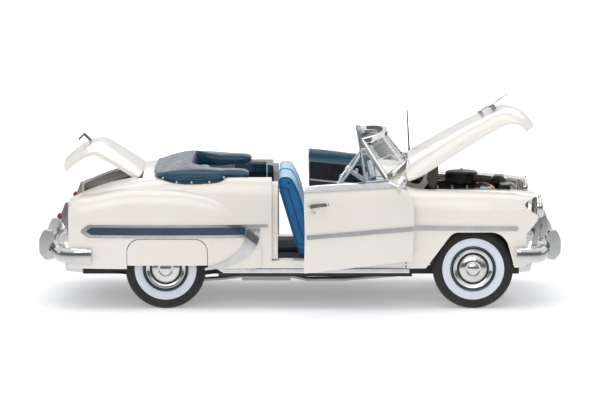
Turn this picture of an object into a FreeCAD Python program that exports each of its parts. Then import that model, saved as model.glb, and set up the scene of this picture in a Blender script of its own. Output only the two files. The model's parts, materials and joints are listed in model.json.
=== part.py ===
"""Scale model of a 1950s two-door convertible, with doors, hood and trunk lid open.

Frame: +X to the car's front, +Y to its left, +Z up, wheels standing on Z = 0.
Every panel is shaped shut, and the doors, hood and trunk lid are then turned to the
places in which the model is shown. All sizes are the model's own, in millimetres.
"""
import FreeCAD, Part
import math
import os

V = FreeCAD.Vector
X_AXIS = V(1, 0, 0)
Y_AXIS = V(0, 1, 0)
Z_AXIS = V(0, 0, 1)

# Layout
WHEELBASE = 162.3
REAR_AXLE_X = -70.9
FRONT_AXLE_X = REAR_AXLE_X + WHEELBASE
HALF_TRACK = 41.2
NOSE_X = 125.2
TAIL_X = -121.8
SIDE_Y = 50.6
FENDER_Y = 52.9
WALL = 1.3
PANEL_GAP = 0.6
RUNNING_CLEARANCE = 0.05
SOFT_GAP = 0.3

# Wheels
TYRE_R = 21.2
TYRE_WIDTH = 9.4
BEAD_R = 12.1
HUBCAP_R = 7.3
AXLE_PIN_R = 1.5
KINGPIN_Y = 36.0
KINGPIN_R = 1.2
RIM_WELL_R = 10.9
HUB_PLATE_T = 2.2
AXLE_INNER_Y = HALF_TRACK + TYRE_WIDTH / 2 - HUB_PLATE_T - 0.3
KNUCKLE_R = 2.4
ARM_PLATE_T = 1.4

# Body heights
SILL_Z = 19.6
BODY_LOW_Z = 22.0
DOOR_LOW_Z = 26.8
BELT_Z = 69.2
CREST_Z = 62.4
COWL_Z = 73.4
FLOOR_Z = 21.0
FLOOR_WALL = 1.2

# Doors
DOOR_REAR_X = -14.3
DOOR_FRONT_X = 55.5
DOOR_WALL = 5.0
DOOR_LIP = 8.0
DOOR_REAR_LIP = 3.4
DOOR_END_Y = 48.4
DOOR_END_BEVEL = 0.85
JAMB_DEPTH = 6.5
JAMB_GAP = 0.8
DOOR_PIN_AHEAD = 9.0
DOOR_PIN_INBOARD = 4.1
DOOR_PIN_R = 0.8
DOOR_OPEN = {"left": 39.4, "right": 36.2}
DOOR_ARM_HEIGHTS = (34.0, 54.0)
DOOR_ARM = 3.0
DOOR_EYE_R = 1.6
ARM_T = 1.6
ARM_INNER_Y = 41.0
DOOR_PIN_X = DOOR_FRONT_X + DOOR_PIN_AHEAD
DOOR_PIN_Y = SIDE_Y - DOOR_PIN_INBOARD

# Hood and trunk lid
HOOD_PIN_X = 53.5
HOOD_PIN_Z = 68.0
HOOD_OPEN = 32.0
HOOD_WALL = 1.0
HOOD_PROUD = 1.2
HOOD_SHARES = (0.4, 0.7, 0.88, 0.96)
HOOD_REAR_X = 62.6
HOOD_SWEEP = 6.4
HOOD_SIDE_Y = 37.0
HOOD_TAPER = 0.165
HOOD_SEAM_X = DOOR_FRONT_X - 2.0
HOOD_LIP_X = 129.0
HOOD_LIP_Z = 51.0
LID_PIN_X = -86.2
LID_PIN_Z = 68.6
LID_OPEN = 45.0
LID_WALL = 1.0
LID_FRONT_X = -85.6
LID_SEAM = 2.4
LID_HALF = 33.0
LID_PEAK_X = -112.6
LID_LIP_X = -119.6
LID_LIP_Z = 44.2
HINGE_PIN_R = 0.8
HINGE_ARM_Y = 17.0
HINGE_ARM_W = 2.0
CHEEK_Y = 2.4
CHEEK_T = 1.0
DECK_FOOT_Z = 70.9

# Hidden walls
SHIELD_X = 66.4
SHIELD_Y = 40.5
BAY_Y = 34.5
BAY_LOW_Z = 44.0
FIREWALL_X = 48.6
SCREEN_REAR_X = 40.0
DECK_Y = 36.0

# Wheel openings
FRONT_ARCH_TOP = 41.3
REAR_ARCH_TOP = 38.2
SKIRT_LOW_Z = 23.9
SKIRT_FRONT_X = -48.4
SKIRT_REAR_X = -91.0

# Glass
SCREEN_BASE_X = 56.6
SCREEN_BASE_Z = 74.6
SCREEN_CORNER_X = 45.8
SCREEN_CORNER_Y = 41.0
SCREEN_CORNER_Z = 69.6
HEADER_X = 46.1
HEADER_Z = 90.0
HEADER_CORNER_X = 33.0
HEADER_CORNER_Y = 33.5
HEADER_CORNER_Z = 88.0
FRAME_R = 1.0
GLASS_T = 0.6
VENT_REAR_X = 28.6
VENT_Y = 44.4
VENT_TOP_Z = 86.2

# Inside
WHEEL_HUB = (27.0, 19.0, 66.5)
WHEEL_TILT = (-0.82, 0.0, 0.57)
WHEEL_RING_R = 11.6
COLUMN_R = 1.3
TRUNK_FLOOR_Z = 29.0
CUSHION_TOP_Z = 43.0
SEAT_HALF = 38.5
SEAT_FOOT_Z = 26.8
REAR_FOOT_Z = 31.5

# Soft pieces
REAR_SEAT_X = -57.0
BOOT_REAR_X = -77.6
BOOT_FRONT_X = -26.4
BOOT_SIDE_Y = 47.3
BOOT_ARM_Y = 43.6
BOOT_SKIRT_X = -40.0
BOOT_ARM_Z = 74.4
BOOT_LOW_Z = 66.5
BOOT_TOP_Z = 78.3

# Lamps
HEAD_Y = 42.3
HEAD_Z = 53.8
HEAD_R = 5.4
TAIL_Y = 44.9
TAIL_Z = 49.3
TAIL_BALL_R = 1.9
TAIL_FACE_X = TAIL_X - 3.4

# Outside fittings
MIRROR_X = 46.8
MIRROR_Y = 50.6
ANTENNA_X = 62.0
ANTENNA_LENGTH = 35.0
ANTENNA_LEAN = 2.0

# Grille
GRILLE_X = 132.2
GRILLE_END_Y = 41.5

# Bumpers
BUMPER_LOW_Z = 25.0
BUMPER_TOP_Z = 32.8
BUMPER_T = 1.6
GUARD_Y = 23.3
GUARD_W = 5.6
GUARD_LOW_Z = 22.8
GUARD_TOP_Z = 39.3
GUARD_TIP = 139.6
FRONT_BUMPER = [(135.4, 0.0), (134.2, 24.0), (131.4, 40.0), (126.5, 48.6), (119.5, 51.6), (113.8, 52.0)]
REAR_BUMPER = [(-135.2, 0.0), (-133.6, 24.0), (-130.6, 40.0), (-125.5, 49.0), (-118.0, 52.2), (-109.6, 52.6)]

# Engine bay
BATTERY_X = 96.0
BATTERY_Y = 20.0
BATTERY_Z = 45.6

# Chassis
RAIL_Y = 17.0
RAIL_W = 3.6
RAIL_LOW_Z = 14.4
RAIL_TOP_Z = 18.6
RAIL_REAR_X = -117.0
RAIL_FRONT_X = 118.0
KICK_Z = 25.4
AXLE_END_Y = 34.0
LEAF_REAR_X = REAR_AXLE_X - 30.0
LEAF_FRONT_X = REAR_AXLE_X + 28.0
LEAF_Y = 21.0
LEAF_W = 3.0
HANGER_T = 1.8
EXHAUST_R = 1.2
MUFFLER_R = 2.9
MUFFLER_Z = 15.0
MOUNT_X = (-45.0, 44.0)
MOUNT_R = 1.5
MOUNT_DEPTH = 5.0

TRIM_PROUD = 0.7
INSET_PROUD = 0.3
ABOVE = 95.0

PARTS = {}


# Small tools for shapes
def smooth(knots, x):
    """Height of a soft line through a few knots, with no overshoot between them."""
    if x <= knots[0][0]:
        return knots[0][1]
    if x >= knots[-1][0]:
        return knots[-1][1]
    steps = [(b[1] - a[1]) / (b[0] - a[0]) for a, b in zip(knots, knots[1:])]
    slopes = [steps[0]]
    for left, right in zip(steps, steps[1:]):
        slopes.append(0.0 if left * right <= 0 else 2 * left * right / (left + right))
    slopes.append(steps[-1])
    i = max(n for n in range(len(knots) - 1) if knots[n][0] <= x)
    (x0, y0), (x1, y1) = knots[i], knots[i + 1]
    width = x1 - x0
    t = (x - x0) / width
    return ((2 * t**3 - 3 * t**2 + 1) * y0 + (t**3 - 2 * t**2 + t) * width * slopes[i]
            + (3 * t**2 - 2 * t**3) * y1 + (t**3 - t**2) * width * slopes[i + 1])


def box(x0, x1, y0, y1, z0, z1):
    return Part.makeBox(x1 - x0, y1 - y0, z1 - z0, V(x0, y0, z0))


def mirrored(shape):
    return shape.mirror(V(0, 0, 0), Y_AXIS)


def both(shape):
    return [shape, mirrored(shape)]


def fused(shapes):
    whole = shapes[0]
    if len(shapes) > 1:
        whole = whole.fuse(shapes[1:])
    return whole.removeSplitter()


def spline(points, start=None, end=None, parameters=None):
    curve = Part.BSplineCurve()
    options = {"Points": points}
    if parameters:
        options["Parameters"] = parameters
    if start:
        options["InitialTangent"] = start
        options["FinalTangent"] = end
    curve.interpolate(**options)
    return curve.toShape()


def outline(points, place):
    """Closed wire through (a, b, radius) corners, each rounded by its own radius."""
    edges = []
    ends = []
    count = len(points)
    for i, (a, b, radius) in enumerate(points):
        here = V(a, b, 0)
        before = V(points[i - 1][0], points[i - 1][1], 0) - here
        after = V(points[(i + 1) % count][0], points[(i + 1) % count][1], 0) - here
        before.normalize()
        after.normalize()
        if radius <= 0:
            ends.append((here, here, here))
            continue
        half = before.getAngle(after) / 2
        reach = radius / math.tan(half)
        bisector = (before + after).normalize()
        middle = here + bisector * (radius / math.sin(half) - radius)
        ends.append((here + before * reach, middle, here + after * reach))
    for i, (start, middle, end) in enumerate(ends):
        if (start - end).Length > 1e-6:
            edges.append(Part.Arc(place(start), place(middle), place(end)).toShape())
        following = ends[(i + 1) % count][0]
        if (following - end).Length > 1e-6:
            edges.append(Part.LineSegment(place(end), place(following)).toShape())
    return Part.Wire(edges)


def side_prism(points, y0, y1):
    """Solid with an (x, z, radius) outline, from y0 to y1."""
    wire = outline(points, lambda p: V(p.x, y0, p.y))
    return Part.Face(wire).extrude(V(0, y1 - y0, 0))


def plan_prism(points, z0, z1):
    """Solid with an (x, y, radius) outline, from z0 to z1."""
    wire = outline(points, lambda p: V(p.x, p.y, z0))
    return Part.Face(wire).extrude(V(0, 0, z1 - z0))


def front_prism(points, x0, x1):
    """Solid with a (y, z, radius) outline, from x0 to x1."""
    wire = outline(points, lambda p: V(x0, p.x, p.y))
    return Part.Face(wire).extrude(V(x1 - x0, 0, 0))


def sharp(points):
    return [(a, b, 0) for a, b in points]


def turned(profile, centre, axis_y=1):
    """Revolve (radius, y) points about a line along Y through centre."""
    points = [V(centre.x + r, centre.y + axis_y * y, centre.z) for r, y in profile]
    face = Part.Face(Part.makePolygon(points + [points[0]]))
    return face.revolve(centre, Y_AXIS, 360)


def rod(start, end, radius):
    return Part.makeCylinder(radius, (end - start).Length, start, end - start)


def bent_rod(points, radius):
    """Round bar along straight runs, with a ball at each corner."""
    pieces = [rod(a, b, radius) for a, b in zip(points, points[1:])]
    pieces += [Part.makeSphere(radius, p) for p in points[1:-1]]
    return fused(pieces)


def swung(shape, pivot, axis, angle):
    copy = shape.copy()
    copy.rotate(pivot, axis, angle)
    return copy


def put(name, shapes):
    PARTS[name] = shapes if isinstance(shapes, list) else [shapes]


# Lines of the body, each a few knots from tail to nose
CENTRE_LINE = [(TAIL_X, 60.5), (-113.0, 66.0), (-99.0, 69.4), (LID_FRONT_X, 71.8), (-70.0, 72.6),
               (DOOR_REAR_X, 72.6), (SCREEN_CORNER_X, COWL_Z), (HOOD_REAR_X, COWL_Z - 0.2),
               (FRONT_AXLE_X, 71.8), (112.0, 69.6), (NOSE_X, 66.0)]
VALLEY_Y = [(TAIL_X, 32.0), (LID_PEAK_X, 34.0), (LID_FRONT_X, 36.0), (-60.0, 41.0),
            (DOOR_REAR_X, 42.2), (SCREEN_CORNER_X, 40.5),
            (HOOD_SEAM_X, HOOD_SIDE_Y + (DOOR_FRONT_X - HOOD_SEAM_X) * HOOD_TAPER)]
VALLEY_Z = [(TAIL_X, 58.0), (LID_PEAK_X, 61.6), (-99.0, 65.6), (LID_FRONT_X, 68.2), (-60.0, 69.4),
            (DOOR_REAR_X, BELT_Z + 0.3), (SCREEN_CORNER_X, BELT_Z - 0.9), (DOOR_FRONT_X, 64.4),
            (66.0, CREST_Z), (FRONT_AXLE_X, CREST_Z - 0.3), (112.0, CREST_Z - 1.0),
            (NOSE_X, CREST_Z - 2.6)]
CREST_Y = [(TAIL_X, 36.0), (-99.0, 41.0), (-60.0, 45.2), (DOOR_REAR_X, 46.2), (30.0, 46.0),
           (SCREEN_CORNER_X, 45.6), (58.0, 44.4), (FRONT_AXLE_X, 43.6), (112.0, 42.0), (NOSE_X, 39.5)]
CREST_HEIGHT = [(TAIL_X, 56.4), (-113.0, 60.0), (-99.0, 63.6), (-84.0, 66.4), (-60.0, 68.2),
                (DOOR_REAR_X, BELT_Z - 0.6), (30.0, BELT_Z - 1.0), (SCREEN_CORNER_X, 67.0),
                (53.0, 64.2), (60.0, CREST_Z + 0.2), (FRONT_AXLE_X, CREST_Z - 0.2), (112.0, CREST_Z - 1.0),
                (NOSE_X, CREST_Z - 2.6)]
WIDEST_Y = [(TAIL_X, 43.5), (-105.0, 47.0), (-80.0, 48.6), (-50.0, 49.3), (DOOR_REAR_X, SIDE_Y - 0.3),
            (20.0, SIDE_Y), (DOOR_FRONT_X, SIDE_Y), (FRONT_AXLE_X, SIDE_Y - 0.2), (112.0, 49.2),
            (NOSE_X, 46.4)]
WIDEST_Z = [(TAIL_X, 44.0), (DOOR_REAR_X, 47.0), (DOOR_FRONT_X, 52.0), (NOSE_X, 53.0)]
LOW_Y = [(TAIL_X, 41.0), (-90.0, 46.4), (DOOR_REAR_X, 48.6), (DOOR_FRONT_X, 48.6), (112.0, 46.0),
         (NOSE_X, 43.0)]
STATIONS = [-108.0, -92.0, -76.0, -50.0, DOOR_REAR_X, 14.0, 36.0, SCREEN_CORNER_X, 52.0, 60.0, 66.0, 74.0,
            82.0, FRONT_AXLE_X, 100.0, 108.0, 116.0]
TOP_SHARES = (0, 0.3, 0.6, 0.82, 0.94, 1)

# Line of the rear fender that stands out from the flank
FENDER_START_X = DOOR_REAR_X - 6.0
BULGE_TOP = [(TAIL_X, 57.2), (-116.5, 59.1), (-103.4, 62.3), (-85.0, 64.6), (-62.8, 64.2), (-46.0, 60.8),
             (-32.0, 54.0), (FENDER_START_X, 44.5)]
BULGE_Y = [(TAIL_X, 48.8), (-108.0, 51.4), (-88.0, FENDER_Y - 0.2), (-70.0, FENDER_Y), (-45.0, 52.0),
           (-32.0, 51.0), (FENDER_START_X, SIDE_Y - 0.35)]
BULGE_STATIONS = [-112.0, -100.0, -88.0, -76.0, -64.0, -52.0, -42.0, -34.0, -27.0]
BULGE_INNER_Y = 34.0
BULGE_BROW = 13.0


def valley_y(x):
    """Half the width between the seams of the hood, deck and lid; straight beside the hood."""
    if x > HOOD_SEAM_X:
        return HOOD_SIDE_Y - (x - DOOR_FRONT_X) * HOOD_TAPER
    return smooth(VALLEY_Y, x)


def crown(share, x):
    """Share of the crown left at a share of the way out; it gets square-shouldered along the hood."""
    soft = 1 - 0.55 * share**2 - 0.45 * share**4
    square = 1 - 0.14 * share**2 - 0.26 * share**4 - 0.60 * share**14
    blend = smooth([(SCREEN_CORNER_X, 0.0), (HOOD_REAR_X, 0.6), (FRONT_AXLE_X, 1.0)], x)
    return soft + (square - soft) * blend


def top_height(x, y):
    valley = smooth(VALLEY_Z, x)
    return valley + (smooth(CENTRE_LINE, x) - valley) * crown(min(1.0, abs(y) / valley_y(x)), x)


def half_section(x, inset, low):
    """Left half of the body's outline at x: top, shoulder, side and underside."""
    crest = V(x, smooth(CREST_Y, x) - inset * 0.6, smooth(CREST_HEIGHT, x) - inset)
    side = V(x, smooth(WIDEST_Y, x) - inset, smooth(WIDEST_Z, x))
    foot = V(x, smooth(LOW_Y, x) - inset, low)
    tops = [V(x, valley_y(x) * s, top_height(x, valley_y(x) * s) - inset) for s in TOP_SHARES]
    top = spline(tops, parameters=list(TOP_SHARES))
    brow = V(x, side.y - (side.y - crest.y) * 0.24, side.z + (crest.z - side.z) * 0.62)
    shoulder = spline([tops[-1], crest, brow, side], parameters=[0, 0.35, 0.72, 1])
    flank_mid = V(x, side.y - (side.y - foot.y) * 0.28, (side.z + foot.z) / 2)
    flank = spline([side, flank_mid, foot], parameters=[0, 0.5, 1])
    under = Part.LineSegment(foot, V(x, 0, low)).toShape()
    middle = Part.LineSegment(V(x, 0, low), tops[0]).toShape()
    return Part.Wire([top, shoulder, flank, under, middle])


def bulge_section(x, inset, low):
    top = smooth(BULGE_TOP, x) - inset
    out = smooth(BULGE_Y, x) - inset
    root = V(x, BULGE_INNER_Y, top)
    side = V(x, out, top - BULGE_BROW)
    points = [root, V(x, out - 6.5, top - 0.6), V(x, out - 1.5, top - BULGE_BROW * 0.36), side]
    shoulder = spline(points, parameters=[0, 0.42, 0.75, 1])
    foot = V(x, out - 1.8, low)
    flank = spline([side, V(x, out - 0.4, (side.z + low) / 2), foot], parameters=[0, 0.5, 1])
    under = Part.LineSegment(foot, V(x, BULGE_INNER_Y, low)).toShape()
    inner = Part.LineSegment(V(x, BULGE_INNER_Y, low), root).toShape()
    return Part.Wire([shoulder, flank, under, inner])


def half_hull(inset, low):
    """Left half of the body without its rear fender, its outside moved in by inset."""
    stations = [TAIL_X + inset] + STATIONS + [NOSE_X - inset]
    return Part.makeLoft([half_section(x, inset, low) for x in stations], True)


def half_body(inset, low):
    stations = [TAIL_X + inset] + BULGE_STATIONS + [FENDER_START_X - inset]
    fender = Part.makeLoft([bulge_section(x, inset, low) for x in stations], True)
    return half_hull(inset, low).fuse(fender)


def end_trim(inset):
    """Rounds the body's corners in plan and cuts the receding fender ends."""
    rear = TAIL_X + inset
    front = NOSE_X - inset
    wide = FENDER_Y + 5
    plan = plan_prism([(rear, -1, 0), (front, -1, 0), (front, 47.6 - inset, 3.5), (front - 9, wide, 0),
                       (rear + 12, wide, 0), (rear, 49.4 - inset, 3.0)], 0, 90)
    side = side_prism([(rear, 0, 0), (119.0 - inset, 0, 0), (119.0 - inset, 40.0, 3), (front, 47.0, 3),
                       (front, 90, 0), (rear, 90, 0)], -1, wide)
    return plan.common(side)


OUTER = half_body(0, BODY_LOW_Z).common(end_trim(0))
INNER = half_body(WALL, BODY_LOW_Z - 5).common(end_trim(WALL))
DEEP = half_hull(DOOR_WALL, BODY_LOW_Z - 5)
PROUD = half_body(-TRIM_PROUD, BODY_LOW_Z - 1.5)
OUTER_LOW = half_body(0, BODY_LOW_Z - 1.6)


def skin(region):
    """Sheet of the body's outside within a region."""
    return OUTER.common(region).cut(INNER)


def raised(region, proud=None):
    """Trim that stands on the body's outside within a region."""
    return (proud or PROUD).common(region).cut(OUTER_LOW)


def hood_plan(margin):
    """Plan of the hood: straight tapering sides and a rear edge curved like the windscreen."""
    rear = [V(hood_rear(s) - 2 * margin, s * (valley_y(hood_rear(s)) + margin), 0)
            for s in (-1, -0.5, 0, 0.5, 1)]
    front_x = NOSE_X + 15
    right = V(front_x, -valley_y(front_x) - margin, 0)
    left = V(front_x, valley_y(front_x) + margin, 0)
    edges = [spline(rear), Part.LineSegment(rear[-1], left).toShape(),
             Part.LineSegment(left, right).toShape(), Part.LineSegment(right, rear[0]).toShape()]
    return Part.Face(Part.Wire(edges)).extrude(V(0, 0, ABOVE))


def hood_rear(share):
    return HOOD_REAR_X - HOOD_SWEEP * share**2


def cowl_plan(margin):
    front = [V(hood_rear(s) + 1, s * 37, 0) for s in (-1, -0.5, 0, 0.5, 1)]
    out = 44.5 + margin
    corner = DOOR_FRONT_X + 3.0
    rear = SCREEN_REAR_X - 1
    points = [V(corner, 37, 0), V(corner - 6, out, 0), V(SCREEN_CORNER_X - 2, 42.2 + margin, 0),
              V(rear, 42.2 + margin, 0), V(rear, -42.2 - margin, 0),
              V(SCREEN_CORNER_X - 2, -42.2 - margin, 0), V(corner - 6, -out, 0), V(corner, -37, 0)]
    edges = [spline(front)]
    chain = [front[-1]] + points + [front[0]]
    edges += [Part.LineSegment(a, b).toShape() for a, b in zip(chain, chain[1:])]
    return Part.Face(Part.Wire(edges)).extrude(V(0, 0, ABOVE))


def front_arch(grow):
    foot = BODY_LOW_Z - 8
    return side_prism([(60.4 - grow, foot, 0), (80.2 - grow, FRONT_ARCH_TOP + grow, 6),
                       (107.5 + grow, FRONT_ARCH_TOP + grow, 10), (115.5 + grow, foot, 0)], 30, 60)


def rear_arch(grow):
    rear, front, top = SKIRT_REAR_X - grow, SKIRT_FRONT_X + grow, REAR_ARCH_TOP + grow
    return side_prism([(rear, 10, 0), (rear, top, 7), (front, top, 7), (front, 10, 0)], 30, 60)


# Panels of the body
def make_front_fender():
    rear = DOOR_FRONT_X + PANEL_GAP
    region = box(rear, NOSE_X + 1, 20, 60, 0, ABOVE).cut(hood_plan(PANEL_GAP / 2))
    lamp = rod(V(NOSE_X - 8, HEAD_Y, HEAD_Z), V(NOSE_X + 8, HEAD_Y, HEAD_Z), HEAD_R)
    panel = skin(region.cut(front_arch(0)).cut(cowl_plan(PANEL_GAP / 2))).cut(lamp)
    shield = INNER.common(box(SHIELD_X, SHIELD_X + WALL, SHIELD_Y, 60, 24, 62)).cut(front_arch(-2))
    pin = rod(V(DOOR_PIN_X, DOOR_PIN_Y, 31), V(DOOR_PIN_X, DOOR_PIN_Y, 59), DOOR_PIN_R)
    lugs = [box(DOOR_PIN_X - 0.8, SHIELD_X + 0.5, DOOR_PIN_Y - 1, DOOR_PIN_Y + 1, z, z + 1)
            for z in (31.5, 44.5, 57.5)]
    wall = [box(SHIELD_X, 121.0, BAY_Y, BAY_Y + WALL, BAY_LOW_Z, 60.4).common(INNER),
            box(SHIELD_X, 121.0, BAY_Y, 52, BAY_LOW_Z, BAY_LOW_Z + WALL).common(INNER),
            box(SHIELD_X, SHIELD_X + WALL, BAY_Y, SHIELD_Y + 1, BAY_LOW_Z, 60.4).common(INNER)]
    return fused([panel, shield, pin] + lugs + wall)


def make_quarter():
    front = DOOR_REAR_X - PANEL_GAP
    region = box(TAIL_X - 1, front, 20, 60, 0, ABOVE)
    trunk = box(TAIL_X - 1, LID_FRONT_X, 0, LID_HALF + PANEL_GAP / 2, 20, ABOVE)
    deck = box(LID_FRONT_X - 1, -60, 0, DECK_Y, 20, ABOVE)
    cabin = box(-60.5, front + 1, 0, 42.2, 20, ABOVE)
    panel = skin(region.cut(trunk).cut(deck).cut(cabin).cut(rear_arch(0)))
    jamb = OUTER.common(box(front - 4, front, 42.2, 60, DOOR_LOW_Z - PANEL_GAP, ABOVE))
    stop = half_hull(WALL + JAMB_GAP, BODY_LOW_Z - 5)
    stop = stop.common(box(front - 1, DOOR_REAR_X + DOOR_REAR_LIP - JAMB_GAP, 42.2, 60, DOOR_LOW_Z, ABOVE))
    return fused([panel, jamb.fuse(stop).cut(half_hull(JAMB_DEPTH, BODY_LOW_Z - 5))])


def door_end_wedge():
    """Taken off the inner corner of a door's rear end, which is bevelled towards the cabin."""
    reach = 10.0
    return plan_prism(sharp([(DOOR_REAR_X - 1, DOOR_END_Y - reach), (DOOR_REAR_X - 1, DOOR_END_Y),
                             (DOOR_REAR_X, DOOR_END_Y),
                             (DOOR_REAR_X + DOOR_END_BEVEL * reach, DOOR_END_Y - reach)]), 0, ABOVE)


def make_door():
    """One door: full-depth slab, skin-thin front and rear edges and two hooked arms with their bores."""
    space = box(DOOR_REAR_X, DOOR_FRONT_X, 42.4, 60, DOOR_LOW_Z, ABOVE).cut(cowl_plan(PANEL_GAP))
    slab = OUTER.common(space).cut(DEEP)
    slab = slab.cut(box(DOOR_FRONT_X - DOOR_LIP, DOOR_FRONT_X + 1, 20, 60, 0, ABOVE).common(INNER))
    slab = slab.cut(box(DOOR_REAR_X - 1, DOOR_REAR_X + DOOR_REAR_LIP, 20, 60, 0, ABOVE).common(INNER))
    slab = slab.cut(door_end_wedge())
    arms = []
    for low in DOOR_ARM_HEIGHTS:
        root = DOOR_FRONT_X - DOOR_LIP
        plan = [(root - 4, 46.2, 0), (root - 4, ARM_INNER_Y, 1), (DOOR_PIN_X - 3.4, ARM_INNER_Y, 2),
                (DOOR_PIN_X + 0.9, DOOR_PIN_Y - 1.2, 0), (DOOR_PIN_X - 1.2, DOOR_PIN_Y + 0.9, 0),
                (DOOR_PIN_X - 4.8, ARM_INNER_Y + ARM_T, 2), (root, ARM_INNER_Y + ARM_T, 0.8),
                (root - 0.6, 46.2, 0)]
        eye = rod(V(DOOR_PIN_X, DOOR_PIN_Y, low), V(DOOR_PIN_X, DOOR_PIN_Y, low + DOOR_ARM), DOOR_EYE_R)
        arm = plan_prism(plan, low, low + DOOR_ARM).fuse(eye)
        bore = rod(V(DOOR_PIN_X, DOOR_PIN_Y, low - 1), V(DOOR_PIN_X, DOOR_PIN_Y, low + DOOR_ARM + 1),
                   DOOR_PIN_R + RUNNING_CLEARANCE)
        arms.append(arm.cut(bore))
    return fused([slab] + arms)


def make_cowl():
    """Panel between hood and windscreen, with the firewall under it."""
    region = box(SCREEN_REAR_X, HOOD_REAR_X + 1, -1, 60, 50, ABOVE).common(cowl_plan(0))
    panel = skin(region.cut(hood_plan(PANEL_GAP / 2)))
    wall = INNER.common(box(FIREWALL_X, FIREWALL_X + WALL, -1, ARM_INNER_Y - 0.6, 30, ABOVE))
    half = panel.fuse(wall)
    cheek = sharp([(FIREWALL_X + WALL, HOOD_PIN_Z - 1.2), (FIREWALL_X + WALL, HOOD_PIN_Z + 1.2),
                   (HOOD_PIN_X + 0.8, HOOD_PIN_Z + 1.2), (HOOD_PIN_X + 0.8, HOOD_PIN_Z - 1.2)])
    return fused([half, mirrored(half)] + hinge_seats(cheek, HOOD_PIN_X, HOOD_PIN_Z))


def make_sill():
    rail = OUTER.common(box(SKIRT_FRONT_X + 3, DOOR_FRONT_X, 40, 60, 0, DOOR_LOW_Z - PANEL_GAP))
    rocker = side_prism([(SKIRT_FRONT_X + 4, BODY_LOW_Z, 0), (SKIRT_FRONT_X + 8, SILL_Z, 1.5),
                         (DOOR_FRONT_X - 5, SILL_Z, 1.5), (DOOR_FRONT_X, BODY_LOW_Z, 0)], 40.1, 48.2)
    hidden = box(SKIRT_FRONT_X, DOOR_REAR_X - PANEL_GAP, 20, 60, 0, 40)
    return fused([rail.cut(hidden.cut(INNER)), rocker])


def make_rear_deck():
    """Panel between the folded-top cover and the trunk lid, and the rain channel under the lid."""
    half = skin(box(LID_FRONT_X + LID_SEAM, -62.0, -1, DECK_Y - PANEL_GAP / 2, 40, ABOVE))
    edge = LID_FRONT_X + LID_SEAM
    cheek = sharp([(LID_PIN_X - 1.0, LID_PIN_Z - 1.4), (LID_PIN_X - 1.0, LID_PIN_Z + 1.0),
                   (LID_PIN_X + 0.5, LID_PIN_Z + 1.0), (LID_PIN_X + 1.3, LID_PIN_Z + 0.2),
                   (edge, LID_PIN_Z + 0.2), (edge, DECK_FOOT_Z), (edge + 1.6, DECK_FOOT_Z),
                   (edge + 1.6, LID_PIN_Z - 1.4)])
    return fused([half, mirrored(half)] + hinge_seats(cheek, LID_PIN_X, LID_PIN_Z))


def make_tail_panel():
    """Panel under the trunk lid, with the curved pan that reaches back to the bumper."""
    half_width = LID_HALF
    wall = box(TAIL_X, TAIL_X + WALL, -half_width, half_width, BODY_LOW_Z, LID_LIP_Z - 1.4)
    pan = side_prism([(TAIL_X + 0.6, LID_LIP_Z - 3.2, 0), (TAIL_X - 5.4, 38.5, 5), (TAIL_X - 7.8, 32.0, 0),
                      (TAIL_X - 6.6, 31.6, 0), (TAIL_X - 4.6, 37.4, 4), (TAIL_X + 0.6, LID_LIP_Z - 4.6, 0)],
                     -half_width + 3, half_width - 3)
    return fused([wall, pan])


def make_skirt():
    return skin(rear_arch(-PANEL_GAP / 2).common(box(TAIL_X, 0, 40, 60, SKIRT_LOW_Z, 60)))


def hood_outer(share, wall):
    """Closed band along the hood at one share of its half width, in an upright plane."""
    rear = hood_rear(share)
    last = HOOD_LIP_X - 21.0
    points = []
    steps = 6
    for i in range(steps + 1):
        x = rear + (last - rear) * i / steps
        y = share * valley_y(x)
        points.append((x, top_height(x, y) + HOOD_PROUD * share**2))
    low_x = HOOD_LIP_X - 5.4 * share**2
    low_z = HOOD_LIP_Z + 1.6 * share**2
    x0, z0 = points[-1]
    for angle in (22, 44, 62, 78, 90):
        s, c = math.sin(math.radians(angle)), math.cos(math.radians(angle))
        points.append((x0 + (low_x - x0) * s**0.8, low_z + (z0 - low_z) * max(c, 0.0)**0.8))
    inner = []
    for i, (x, z) in enumerate(points):
        ahead = points[min(i + 1, len(points) - 1)]
        behind = points[max(i - 1, 0)]
        dx, dz = ahead[0] - behind[0], ahead[1] - behind[1]
        length = math.hypot(dx, dz)
        inner.append((x + wall * dz / length, z - wall * dx / length))
    outer = [V(x, share * valley_y(x), z) for x, z in points]
    under = [V(x, share * valley_y(x), z) for x, z in reversed(inner)]
    return Part.Wire([spline(outer), Part.LineSegment(outer[-1], under[0]).toShape(),
                      spline(under), Part.LineSegment(under[-1], outer[0]).toShape()])


def make_hood():
    edge = 1 - PANEL_GAP / 2 / HOOD_SIDE_Y
    half = [*HOOD_SHARES, edge]
    shares = [-s for s in reversed(half)] + [0] + half
    return Part.makeLoft([hood_outer(s, HOOD_WALL) for s in shares], True)


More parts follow.
